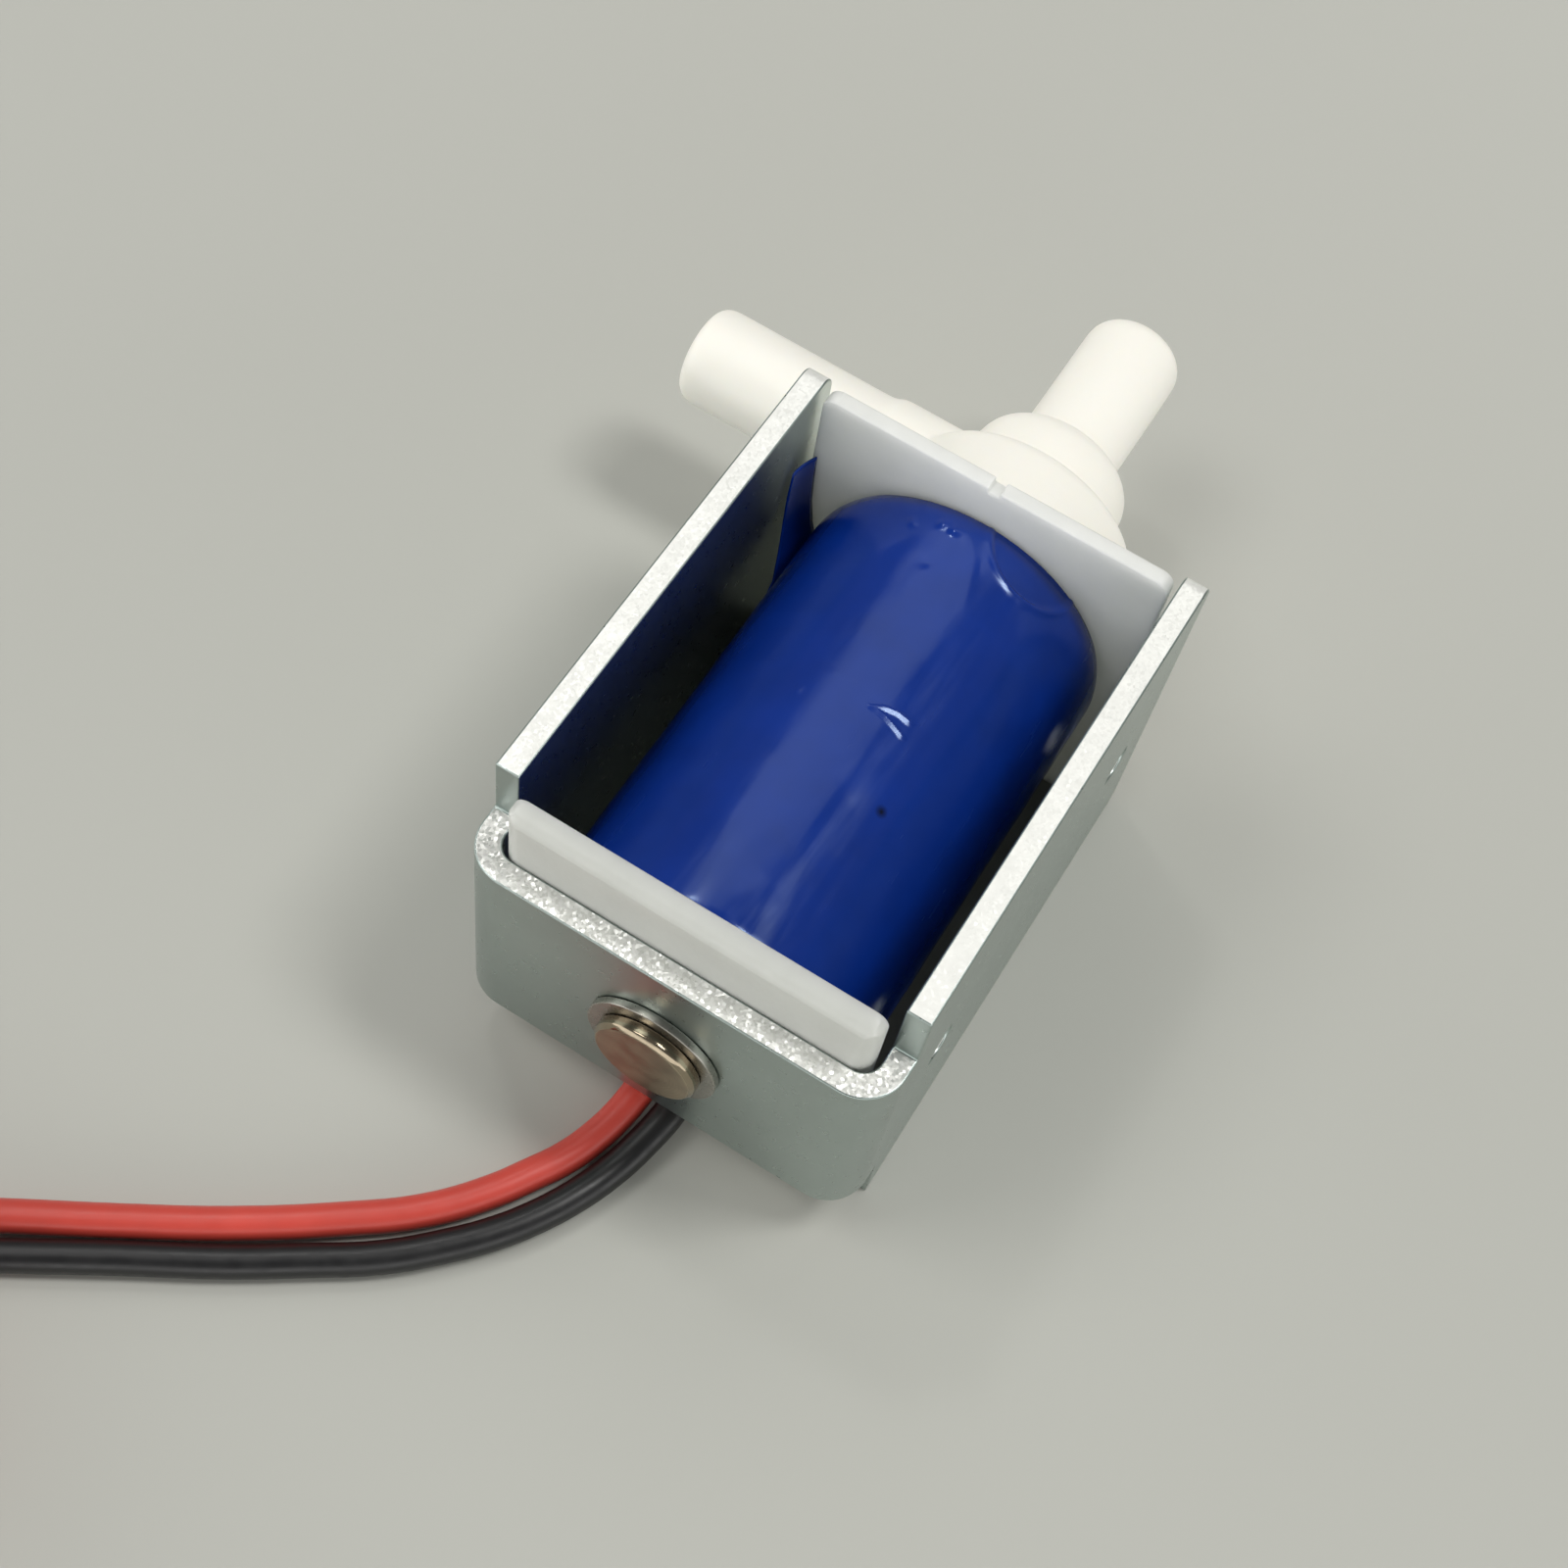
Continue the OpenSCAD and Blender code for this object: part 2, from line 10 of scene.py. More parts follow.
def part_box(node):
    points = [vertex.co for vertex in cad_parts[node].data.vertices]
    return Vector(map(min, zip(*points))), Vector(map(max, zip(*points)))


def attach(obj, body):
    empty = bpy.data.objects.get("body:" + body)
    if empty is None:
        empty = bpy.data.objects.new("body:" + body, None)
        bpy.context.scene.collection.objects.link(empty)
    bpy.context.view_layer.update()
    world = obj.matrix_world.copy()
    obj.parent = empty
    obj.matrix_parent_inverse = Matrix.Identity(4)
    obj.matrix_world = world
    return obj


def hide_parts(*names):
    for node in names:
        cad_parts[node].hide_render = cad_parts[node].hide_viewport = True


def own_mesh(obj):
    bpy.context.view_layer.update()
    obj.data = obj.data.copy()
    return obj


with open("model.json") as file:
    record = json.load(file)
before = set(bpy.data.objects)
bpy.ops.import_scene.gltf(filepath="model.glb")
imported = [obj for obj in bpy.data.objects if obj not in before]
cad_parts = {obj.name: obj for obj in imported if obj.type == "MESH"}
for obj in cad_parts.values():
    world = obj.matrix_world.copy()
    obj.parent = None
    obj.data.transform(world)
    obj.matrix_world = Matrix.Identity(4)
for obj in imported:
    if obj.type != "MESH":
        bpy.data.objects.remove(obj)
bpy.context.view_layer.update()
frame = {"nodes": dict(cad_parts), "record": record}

bl_info = {
    "name": "Micro solenoid valve",
    "version": (1, 0, 0),
    "blender": (4, 5, 0),
    "location": "View3D > Sidebar > Valve",
    "description": "Dresses a small solenoid valve: steel frame, taped coil, moulded valve end and leads",
    "category": "Object",
}

MM = 0.001

# The camera of the photograph, in metres and degrees, with its lens and sensor in millimetres
CAMERA_PLACE = (0.01693, -0.05123, 0.11057)
CAMERA_AZIMUTH = 20.35
CAMERA_ELEVATION = 61.49
CAMERA_ROLL = 12.46
CAMERA_LENS = 56.56
CAMERA_SENSOR = 36.0
CAMERA_NEAR = 0.005
CAMERA_FAR = 10

# The stage, in metres, with the floor's mottle in millimetres
FLOOR_HALF = 1.5
FLOOR_MOTTLE = 60
# Each lamp's name, the setting that gives its power, its share of that power, its place and its size
LAMPS = (
    ("key", "key", 0.72, (0.2, 0.1, 0.48), (0.1, 0.1)),
    ("key side", "key", 0.28, (0.125, 0.1, 0.49), (0.09, 0.05)),
    ("second", "second", 1, (-0.24, -0.13, 0.49), (0.2, 0.2)),
    ("spark", "spark", 1, (-0.2, 0.13, 0.49), (0.05, 0.05)),
    ("haze", "haze", 1, (-0.12, 0.31, 0.5), (0.42, 0.28)),
)
LAMP_AIM = Vector((0, 0.005, 0.01))
LAMP_COLOUR = (1.0, 0.99, 0.97)
ROOM_COLOUR = (1.0, 0.995, 0.98, 1)
# The walls fade out between two shares of +Y towards the back, and of +Z towards the ceiling
WALLS_BACK = (0.15, 0.45)
WALLS_TOP = (0.3, 0.52)

# Places of the valve, from the frame
FRAME_LOW, FRAME_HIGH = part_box("frame")
AXIS_Z = (FRAME_LOW.z + FRAME_HIGH.z) / 2
COIL_LOW, COIL_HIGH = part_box("coil_tape")
COIL_R = COIL_HIGH.z - AXIS_Z

# Routes of the two leads from their joints to the coil, in millimetres
RED_ROUTE = (
    (-0.9, -8.9, 1.45), (-0.9, -11.7, 1.45), (-0.9, -13.4, 1.3), (-1.05, -14.8, 1.1),
    (-1.4, -16.3, 0.93), (-2, -17.9, 0.82), (-2.9, -19.5, 0.82), (-3.9, -21.1, 0.82),
    (-5.9, -23.5, 0.82), (-8.8, -25.9, 0.82), (-13, -28.9, 0.82), (-17.2, -31.5, 0.82),
    (-21.6, -34.1, 0.82), (-25, -36.2, 0.82), (-28.5, -38.4, 0.95), (-32, -40.5, 1.2),
)
BLACK_ROUTE = (
    (0.9, -8.9, 1.45), (0.9, -11.7, 1.45), (0.9, -13.5, 1.3), (0.6, -15.4, 1.03),
    (0.15, -17.2, 0.85), (-0.6, -19.2, 0.82), (-1.6, -21.1, 0.82), (-2.7, -22.7, 0.82),
    (-4.1, -24.3, 0.82), (-6.3, -26.4, 0.82), (-9.1, -28.4, 0.82), (-11.9, -30.3, 0.82),
    (-16.2, -32.9, 0.82), (-20.4, -35.5, 0.82), (-24, -37.7, 0.82), (-27.6, -39.8, 0.95),
    (-31.1, -41.9, 1.2),
)
# Free ends of the leads, from the top of the coil down into its middle
RED_TAIL = (
    (-32, -40.5, 4.5), (-34.3, -42.9, 4.6), (-35.3, -46, 4.7), (-34.8, -48.9, 4.7), (-33.5, -51.2, 4.3),
    (-31.9, -52.8, 3.5), (-29.8, -54, 2.7), (-27.9, -54.2, 2.47),
)
BLACK_TAIL = (
    (-31.2, -42, 4.5), (-32.8, -43.8, 4.5), (-33.4, -46.1, 4.1), (-33.3, -48.4, 2.9), (-32.7, -50.6, 1.6),
    (-31.5, -52.5, 0.95), (-29.6, -54, 0.82), (-26.7, -54.5, 0.82), (-24, -53.5, 0.82), (-22.1, -51.3, 0.82),
    (-21.6, -48.4, 0.82), (-22.7, -45.7, 0.82), (-24.7, -44.5, 0.82),
)
# Real lengths of the leads in metres
RED_LENGTH = 0.187
BLACK_LENGTH = 0.18
# A bare end: its length, the radius of its core's twist, its outer strands' turns, and shares of its size
BARE_REACH = 4.0
BARE_CORE_R = 0.01
BARE_CORE_SHARE = 0.97
STRAND_TURNS = 0.8
STRAND_SHARE = 0.72
# The coil of spare lead, wound two leads wide, in millimetres and degrees
COIL_CENTER = (-27.2, -48.9)
BLACK_TRACK_R = 8.0
TRACK_PITCH = 1.65
COIL_TURNS = 2
COIL_STEPS = 24
COIL_START_Z = 1.2
COIL_FLAT_SHARE = 0.55
# The tie about the coil, with its play beside the leads and its inner face's depth in the node
TIE_ANGLE = 285
TIE_WALL = 0.36
TIE_WIDTH = 1.9
TIE_CORNER = 0.7
TIE_CORNER_STEPS = 8
TIE_PLAY = 0.03
TIE_INSET = 0.4
# Section of the tie's band, as shares of its wall outwards and of its half width sideways
TIE_SECTION = ((0, -1), (0.85, -1), (1, -0.86), (1, 0.86), (0.85, 1), (0, 1))

# The frame's zones with sheared edges, as the reach of its tips and of its web in millimetres
TIP_REACH = 1.2
WEB_REACH = 3
# A face looks along an axis when its normal has more than this share along it
LOOKS_ALONG = 0.7
# A thread as shares of its pitch: the bare length at each end, the turns lost by it and the ridge's width
THREAD_BARE = 1 / 3
THREAD_LOST = 0.66
THREAD_RIDGE = 0.8

# The winding as shares of its wire: how deep the turns' middles lie and how far apart the turns are
WINDING_SUNK = 1 / 3
WINDING_SPACING = 1.05

# Places on the film are degrees from the top towards +X and millimetres along Y. Sizes are millimetres
FILM_THICKNESS = 0.25
# The roll at the film's ends, and the lowest that a crease may lie
FILM_END_REACH = 1.1
FILM_END_DROP = 0.34
FILM_LOWEST = -0.36
# Slow waves: height, start, and radians for each millimetre round the coil and along it
FILM_WAVES = ((0.015, 0, 0.8, 0.5), (0.008, 1.0, -0.7, 1.9))
# A pleat's crest lines, with the width and slope of the flat flank before them and the width of the back
PLEAT_LINES = (
    ((4.8, 1.38), (8.4, 1.7), (12.8, 1.86), (17.0, 1.84)),
    ((4.8, 1.38), (11, 1.3), (17.6, 1.06)),
)
PLEAT_FLANK = 0.38
PLEAT_SLOPE = 0.165
PLEAT_BACK = 0.1
# A ridge that fades out from the rear end
RIDGE_LINE = ((-2.2, 11.6), (3.8, 10.6), (8.1, 9.1), (14, 7.4))
RIDGE_RISE = 0.06
RIDGE_WIDTH = 0.32
# The faint edge of a layer below
EDGE_LINE = ((-29, 1.1), (-12, 2.0), (-3.8, 2.2))
EDGE_RISE = 0.006
EDGE_WIDTH = 0.2
# A dent with a rim, whose place, width and slope are shares of the dent's half sizes
DENT_MIDDLE = (23, 13.0)
DENT_SIZE = (2.55, 2.45)
DENT_DEPTH = 0.16
DENT_SLOPE = 0.12
DENT_RIM = 1.04
DENT_RIM_RISE = 0.06
DENT_RIM_WIDTH = 0.08
# A pin hole, which is only painted shade: a dark spot in the film's colour, with no hole in the mesh
SHADED_HOLE_PLACE = (26.2, -2.5)
SHADED_HOLE_R = 0.25
# Small hollows and lumps: degrees, place along Y, radius and depth, which is negative for a lump
FILM_SPOTS = (
    (-8.8, 9.3, 0.4, 0.05), (-21, 11.1, 0.28, -0.06),
    (-11, 11.55, 0.28, -0.1), (-6.3, 11.5, 0.32, -0.11), (51.5, 6, 0.5, -0.02), (-19, 0.4, 0.2, -0.03),
)
# The film's loose corner from the coil up: height, distance from the axis and place of its free edge
CORNER_LEVELS = (
    (8.8, -7.86, 4.6), (9.2, -8.1, 7.3), (9.8, -8.4, 9.3), (11, -8.75, 10.2), (12.6, -9.0, 10.7),
    (14.4, -9.1, 10.9), (16, -9.15, 11.2),
)
CORNER_REAR = 12.7
CORNER_CURL = 0.4
CORNER_THICKNESS = 0.07
CORNER_STEPS = 6
CORNER_COLUMNS = 12
# The fold over the lead joints: its flat part and its sides in degrees, its rear end and the slope there
POCKET_FLAT = 11
POCKET_SIDE = 11
POCKET_REAR = -6.4
POCKET_SLOPE = 1.5
# The film's mesh: first degree, step and count of each stretch round the coil, and its rows' spacings along Y
FILM_STRETCHES = ((-75, 1, 45), (-30, 0.5, 120), (30, 1, 45), (75, 3, 70))
FILM_ROW = 0.15
PLEAT_ROW = 0.04
PLEAT_ROWS = (0.7, 2.2)
REAR_ROW = 0.06
REAR_ROWS_FROM = 10.4
INNER_ROW_STEP = 12

# Rounding of the turned pieces' edges, and the share along Y from which a core's face is an end face
CORE_ROUNDING = 0.06
PLUNGER_ROUNDING = 0.05
CORE_END_FACE = 0.9
# Smoothing that gives the valve end its fillets
FILLET_FACTOR = 0.5
FILLET_PASSES = 22


def linear(code):
    """Linear colour of an sRGB hex value."""
    parts = [int(code[place:place + 2], 16) / 255 for place in (1, 3, 5)]
    return tuple(part / 12.92 if part <= 0.04045 else ((part + 0.055) / 1.055) ** 2.4 for part in parts)


def colour(title, words, code):
    """A colour property with its default as an sRGB hex value."""
    return FloatVectorProperty(
        name=title, description=words, subtype="COLOR", size=3, min=0, max=1, default=linear(code))


def length(title, words, size):
    """A length property with its default in millimetres."""
    return FloatProperty(name=title, description=words, unit="LENGTH", min=0, precision=5, default=size * MM)


def power(title, words, watts):
    """A power property with its default in watts."""
    return FloatProperty(name=title, description=words, unit="POWER", min=0, default=watts)


def share(title, words, amount):
    """A property that is a plain number from 0 up."""
    return FloatProperty(name=title, description=words, min=0, default=amount)


class ValveStageSettings(bpy.types.PropertyGroup):
    floor: colour("Floor", "Colour of the plain floor", "#B9BAB3")
    walls: share("Walls", "Light from low in front and at the sides", 2.0)
    ceiling: share("Ceiling", "Light from overhead and behind", 0.23)
    key: power("Key light", "Power of the light above, right and behind", 0.98)
    second: power("Second light", "Power of the light above and left", 0.6)
    spark: power("Spark light", "Power of the small light that glints", 0.16)
    haze: power("Haze light", "Power of the wide light behind", 0.44)


class ValveFrameSettings(bpy.types.PropertyGroup):
    plating: colour("Plating", "Colour of the zinc plating on the strip", "#ACB8B4")
    sheared: colour("Sheared edge", "Colour of the bright cut edges", "#F1F2ED")
    rounding: length("Edge rounding", "Rounding of the strip's edges", 0.09)
    thread_pitch: length("Thread pitch", "Pitch of the thread in the screw holes", 0.45)


class ValveCoilSettings(bpy.types.PropertyGroup):
    film: colour("Film", "Colour of the polyester film", "#0A2E86")
    copper: colour("Copper", "Colour of the enamelled wire", "#A5522A")
    crease: share("Creases", "Height of the film's creases, as a share", 1)
    wire: length("Wire", "Thickness of the winding's wire", 0.3)


class ValvePlasticSettings(bpy.types.PropertyGroup):
    nylon: colour("Valve end", "Colour of the moulded valve end", "#FCFAF1")
    bobbin: colour("Bobbin", "Colour of the moulded bobbin", "#E4E6E1")
    # The front flange takes a darker copy of the bobbin's colour, which is painted shade and not greying by
    # fingers
    shaded_front: colour("Shaded front flange", "Colour of the front flange, darkened as painted shade", "#C4C6C1")
    rounding: length("Bobbin rounding", "Rounding of the bobbin's edges", 0.09)
    voxel: length("Moulding detail", "Mesh size of the valve end", 0.16)


class ValveCoreSettings(bpy.types.PropertyGroup):
    nickel: colour("Core", "Colour of the plated magnetic iron", "#A99C86")
    steel: colour("Spring steel", "Colour of the spring and the retaining ring", "#A9A69E")
    rubber: colour("Seals", "Colour of the rubber seals", "#232323")
    spring_turns: IntProperty(name="Spring turns", description="Turns of the return spring", min=1, default=9)
    spring_wire: length("Spring wire", "Thickness of the return spring's wire", 0.35)


class ValveLeadSettings(bpy.types.PropertyGroup):
    red: colour("Red lead", "Colour of the red insulation", "#C9463B")
    black: colour("Black lead", "Colour of the black insulation", "#101012")
    tin: colour("Tinned copper", "Colour of the bare ends", "#C9C7C0")
    tie: colour("Tie", "Colour of the tie", "#2B2B2B")
    diameter: length("Lead diameter", "Outside diameter of each lead", 1.6)
    strands: IntProperty(
        name="Strands", description="Strands in the outer layer of a bare end", min=3, default=7)


def add(tree, kind, inputs=None, **settings):
    """Adds a node with its settings, and sets or links its inputs."""
    node = tree.nodes.new(kind)
    for name, value in settings.items():
        setattr(node, name, value)
    for key, value in (inputs or {}).items():
        if isinstance(value, bpy.types.NodeSocket):
            tree.links.new(value, node.inputs[key])
        else:
            node.inputs[key].default_value = value
    return node


def per_mm(size):
    """Pattern scale that gives features of a size in millimetres."""
    return 1 / (size * MM)


def shade(base, factor):
    """Colour with alpha for a socket, made darker or lighter by a factor."""
    return (*(min(1.0, part * factor) for part in base), 1.0)


def begin_material(name):
    """A new material, its empty tree and the piece's own coordinates."""
    material = bpy.data.materials.new(name)
    material.use_nodes = True
    tree = material.node_tree
    tree.nodes.clear()
    return material, tree, add(tree, "ShaderNodeTexCoord").outputs["Object"]


def end_material(tree, inputs):
    """Adds the surface shader with its inputs and the material's output."""
    shader = add(tree, "ShaderNodeBsdfPrincipled", inputs)
    add(tree, "ShaderNodeOutputMaterial", {"Surface": shader.outputs["BSDF"]})


def grained(name, base, tones, gloss, cloud, grain, relief, drawn=1.0, **extra):
    """Material with clouds in its colour and grain in its gloss and relief, sized in millimetres.

    The grain can be drawn out along Y, by a factor above 1, or pressed together, by one below 1.
    """
    material, tree, place = begin_material(name)
    clouds = add(tree, "ShaderNodeTexNoise", {"Vector": place, "Scale": per_mm(cloud), "Detail": 3.0})
    grain_place = add(tree, "ShaderNodeMapping", {"Vector": place, "Scale": (1, 1 / drawn, 1)})
    grains = add(tree, "ShaderNodeTexNoise", {
        "Vector": grain_place.outputs["Vector"], "Scale": per_mm(grain), "Detail": 3.0})
    tint = add(tree, "ShaderNodeMix", {
        0: clouds.outputs["Fac"], 6: shade(base, tones[0]), 7: shade(base, tones[1])}, data_type="RGBA")
    rough = add(tree, "ShaderNodeMapRange", {
        "Value": grains.outputs["Fac"], "From Min": 0.3, "From Max": 0.7, "To Min": gloss[0],
        "To Max": gloss[1]})
    bump = add(tree, "ShaderNodeBump", {"Height": grains.outputs["Fac"], "Distance": relief * MM})
    end_material(tree, {
        "Base Color": tint.outputs[2], "Roughness": rough.outputs["Result"], "Normal": bump.outputs["Normal"],
        **extra})
    return material


def zinc_plated_strip(base):
    """Steel strip, rolled and zinc plated."""
    # Satin and a little cloudy, with the fine grain of rolling under the plating
    return grained(
        "zinc_plated_strip", base, tones=(0.86, 1.04), gloss=(0.27, 0.31), cloud=4.0, grain=0.5,
        relief=0.0001, Metallic=1.0)


def sheared_steel(name, base, tilt, metal):
    """Edge of the strip, sheared and zinc plated."""
    # Torn grain like pale chalk, with small facets that each tilt a little and glint
    facet_size = 0.13
    tear_size = 0.9
    material, tree, place = begin_material(name)
    facets = add(tree, "ShaderNodeTexVoronoi", {
        "Vector": place, "Scale": per_mm(facet_size), "Randomness": 1.0})
    lean = add(tree, "ShaderNodeVectorMath", {
        0: facets.outputs["Color"], 1: (0.5, 0.5, 0.5)}, operation="SUBTRACT")
    amount = add(tree, "ShaderNodeVectorMath", {0: lean.outputs[0], "Scale": tilt}, operation="SCALE")
    face = add(tree, "ShaderNodeNewGeometry").outputs["Normal"]
    leaning = add(tree, "ShaderNodeVectorMath", {0: amount.outputs[0], 1: face}, operation="ADD")
    level = add(tree, "ShaderNodeVectorMath", {0: leaning.outputs[0]}, operation="NORMALIZE")
    tear = add(tree, "ShaderNodeTexNoise", {"Vector": place, "Scale": per_mm(tear_size), "Detail": 4.0})
    tint = add(tree, "ShaderNodeMix", {
        0: tear.outputs["Fac"], 6: shade(base, 0.84), 7: shade(base, 1.04)}, data_type="RGBA")
    end_material(tree, {
        "Base Color": tint.outputs[2], "Metallic": metal, "Roughness": 0.32, "Normal": level.outputs[0]})
    return material


def polyester_film(base):
    """Polyester film tape, dyed blue."""
    # Deep colour under a glossy face, with smears and faint wrinkles drawn out along the coil
    material = grained(
        "polyester_film", base, tones=(0.75, 1.2), gloss=(0.1, 0.28), cloud=3.0, grain=0.8, relief=0.007,
        drawn=7.0, **{"IOR": 1.5, "Specular Tint": (0.6, 0.76, 1.0, 1.0)})
    # Painted shade for a pin hole: a dark spot with a soft edge in the film's colour, where the mesh has no
    # hole
    tree = material.node_tree
    turn = radians(SHADED_HOLE_PLACE[0])
    hole = (COIL_R * sin(turn), SHADED_HOLE_PLACE[1] * MM, AXIS_Z + COIL_R * cos(turn))
    outer, inner = SHADED_HOLE_R * 1.4 * MM, SHADED_HOLE_R * 0.2 * MM
    away = add(tree, "ShaderNodeVectorMath", {
        0: add(tree, "ShaderNodeTexCoord").outputs["Object"], 1: hole}, operation="DISTANCE")
    inside = add(tree, "ShaderNodeMapRange", {
        "Value": away.outputs["Value"], "From Min": outer, "From Max": inner})
    shader = next(node for node in tree.nodes if node.type == "BSDF_PRINCIPLED")
    face = shader.inputs["Base Color"].links[0].from_socket
    hole_shade = add(tree, "ShaderNodeMix", {
        0: inside.outputs["Result"], 6: face, 7: shade(base, 0.1)}, data_type="RGBA")
    tree.links.new(hole_shade.outputs[2], shader.inputs["Base Color"])
    return material


def moulded_nylon(base):
    """Natural nylon, injection moulded."""
    # Soft cream with light inside it and the fine texture of an eroded mould
    return grained(
        "moulded_nylon", base, tones=(0.94, 1.02), gloss=(0.4, 0.52), cloud=6.0, grain=0.25, relief=0.006,
        **{"IOR": 1.53, "Subsurface Weight": 0.12, "Subsurface Radius": (1.0, 0.75, 0.45),
           "Subsurface Scale": 0.8 * MM})


def moulded_polyester(name, base):
    """White thermoplastic polyester, injection moulded."""
    # Duller and greyer than the valve end, and milky, so that light spreads in its thin flanges
    return grained(
        name, base, tones=(0.9, 1.04), gloss=(0.36, 0.48), cloud=2.5, grain=0.2, relief=0.005,
        **{"IOR": 1.55, "Subsurface Weight": 1.0, "Subsurface Radius": (1.0, 1.0, 1.0),
           "Subsurface Scale": 1.6 * MM})


def turned_nickel(base):
    """Magnetic iron, turned and nickel plated."""
    # Warm grey with the rings of the lathe, which are drawn coarser than real so that they show
    material, tree, place = begin_material("turned_nickel")
    spacing = 0.16
    stain_size = 1.2
    centred = add(tree, "ShaderNodeMapping", {"Vector": place, "Location": (0, 0, -AXIS_Z)})
    rings = add(tree, "ShaderNodeTexWave", {
        "Vector": centred.outputs["Vector"], "Scale": pi / 10 * per_mm(spacing), "Distortion": 0.6,
        "Detail": 1.0}, wave_type="RINGS", rings_direction="Y")
    stain = add(tree, "ShaderNodeTexNoise", {"Vector": place, "Scale": per_mm(stain_size), "Detail": 3.0})
    tint = add(tree, "ShaderNodeMix", {
        0: stain.outputs["Fac"], 6: shade(base, 0.6), 7: shade(base, 1.15)}, data_type="RGBA")
    rough = add(tree, "ShaderNodeMapRange", {"Value": stain.outputs["Fac"], "To Min": 0.3, "To Max": 0.55})
    bump = add(tree, "ShaderNodeBump", {"Height": rings.outputs["Fac"], "Distance": 0.003 * MM})
    end_material(tree, {
        "Base Color": tint.outputs[2], "Metallic": 1.0, "Roughness": rough.outputs["Result"],
        "Normal": bump.outputs["Normal"]})
    return material


def polished_nickel(base):
    """Magnetic iron, nickel plated and polished."""
    # Bright and warm, where tools and handling have rubbed it
    return grained(
        "polished_nickel", base, tones=(0.6, 1.0), gloss=(0.08, 0.15), cloud=0.8, grain=0.5, relief=0.006,
        drawn=0.2, Metallic=1.0)


def tempered_steel(base):
    """Spring steel, tempered."""
    # Smooth grey with a faint brown bloom
    return grained(
        "tempered_steel", base, tones=(0.65, 1.1), gloss=(0.24, 0.38), cloud=1.0, grain=0.2, relief=0.002,
        Metallic=1.0)


def nitrile_rubber(name, base):
    """Nitrile rubber, moulded."""
    # Dull black with a little dust
    return grained(
        name, base, tones=(0.7, 1.7), gloss=(0.6, 0.8), cloud=0.5, grain=0.3, relief=0.006, IOR=1.52)


def enamelled_copper(base):
    """Copper wire, drawn and enamelled."""
    # Warm metal under a thin clear varnish
    return grained(
        "enamelled_copper", base, tones=(0.7, 1.2), gloss=(0.2, 0.3), cloud=1.5, grain=0.4, relief=0.002,
        **{"Metallic": 1.0, "Coat Weight": 0.6})


def tinned_copper(base):
    """Copper strands dipped in solder."""
    # Silvery, and lumpy where the solder ran between the strands
    return grained(
        "tinned_copper", base, tones=(0.7, 1.1), gloss=(0.22, 0.4), cloud=0.6, grain=0.3, relief=0.015,
        Metallic=1.0)


def soft_vinyl(name, base):
    """Soft vinyl insulation, drawn through a die."""
    # Smooth and satin, with faint drag and handling marks
    return grained(
        name, base, tones=(0.78, 1.16), gloss=(0.32, 0.44), cloud=3.5, grain=0.6, relief=0.008, IOR=1.53)


def place_piece(name, mesh, materials, body, slot, *nodes):
    """Makes a mesh a piece that rides on a body and stands for its nodes."""
    piece = bpy.data.objects.new(name, mesh)
    bpy.context.scene.collection.objects.link(piece)
    mesh.materials.clear()
    for material in materials:
        mesh.materials.append(material)
    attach(piece, body)
    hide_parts(*nodes)
    return piece


def finish_node(node, material):
    """Gives a node that stays its material."""
    mesh = frame["nodes"][node].data
    mesh.materials.clear()
    mesh.materials.append(material)


def merged_copy(node):
    """Copy of a node's mesh, with its triangles joined and its flat faces whole."""
    mesh = bpy.data.meshes.new(node)
    shape = bmesh.new()
    shape.from_mesh(frame["nodes"][node].data)
    bmesh.ops.remove_doubles(shape, verts=shape.verts, dist=0.001 * MM)
    bmesh.ops.dissolve_limit(shape, angle_limit=radians(1), verts=shape.verts, edges=shape.edges)
    shape.to_mesh(mesh)
    shape.free()
    mesh.shade_smooth()
    return mesh


def round_edges(piece, width, steps=3):
    """Rounds a piece's sharp edges and keeps its flat faces flat to the eye."""
    bevel = piece.modifiers.new("rounded edges", "BEVEL")
    bevel.width = width
    bevel.segments = steps
    bevel.limit_method = "ANGLE"
    bevel.angle_limit = radians(38)
    bevel.use_clamp_overlap = False
    bevel.miter_outer = "MITER_ARC"
    normals = piece.modifiers.new("flat faces", "WEIGHTED_NORMAL")
    normals.keep_sharp = True


def evaluated_mesh(holder):
    """Plain mesh of an object with its modifiers, which is then removed."""
    ready = holder.evaluated_get(bpy.context.evaluated_depsgraph_get())
    mesh = bpy.data.meshes.new_from_object(ready)
    bpy.data.objects.remove(holder)
    return mesh


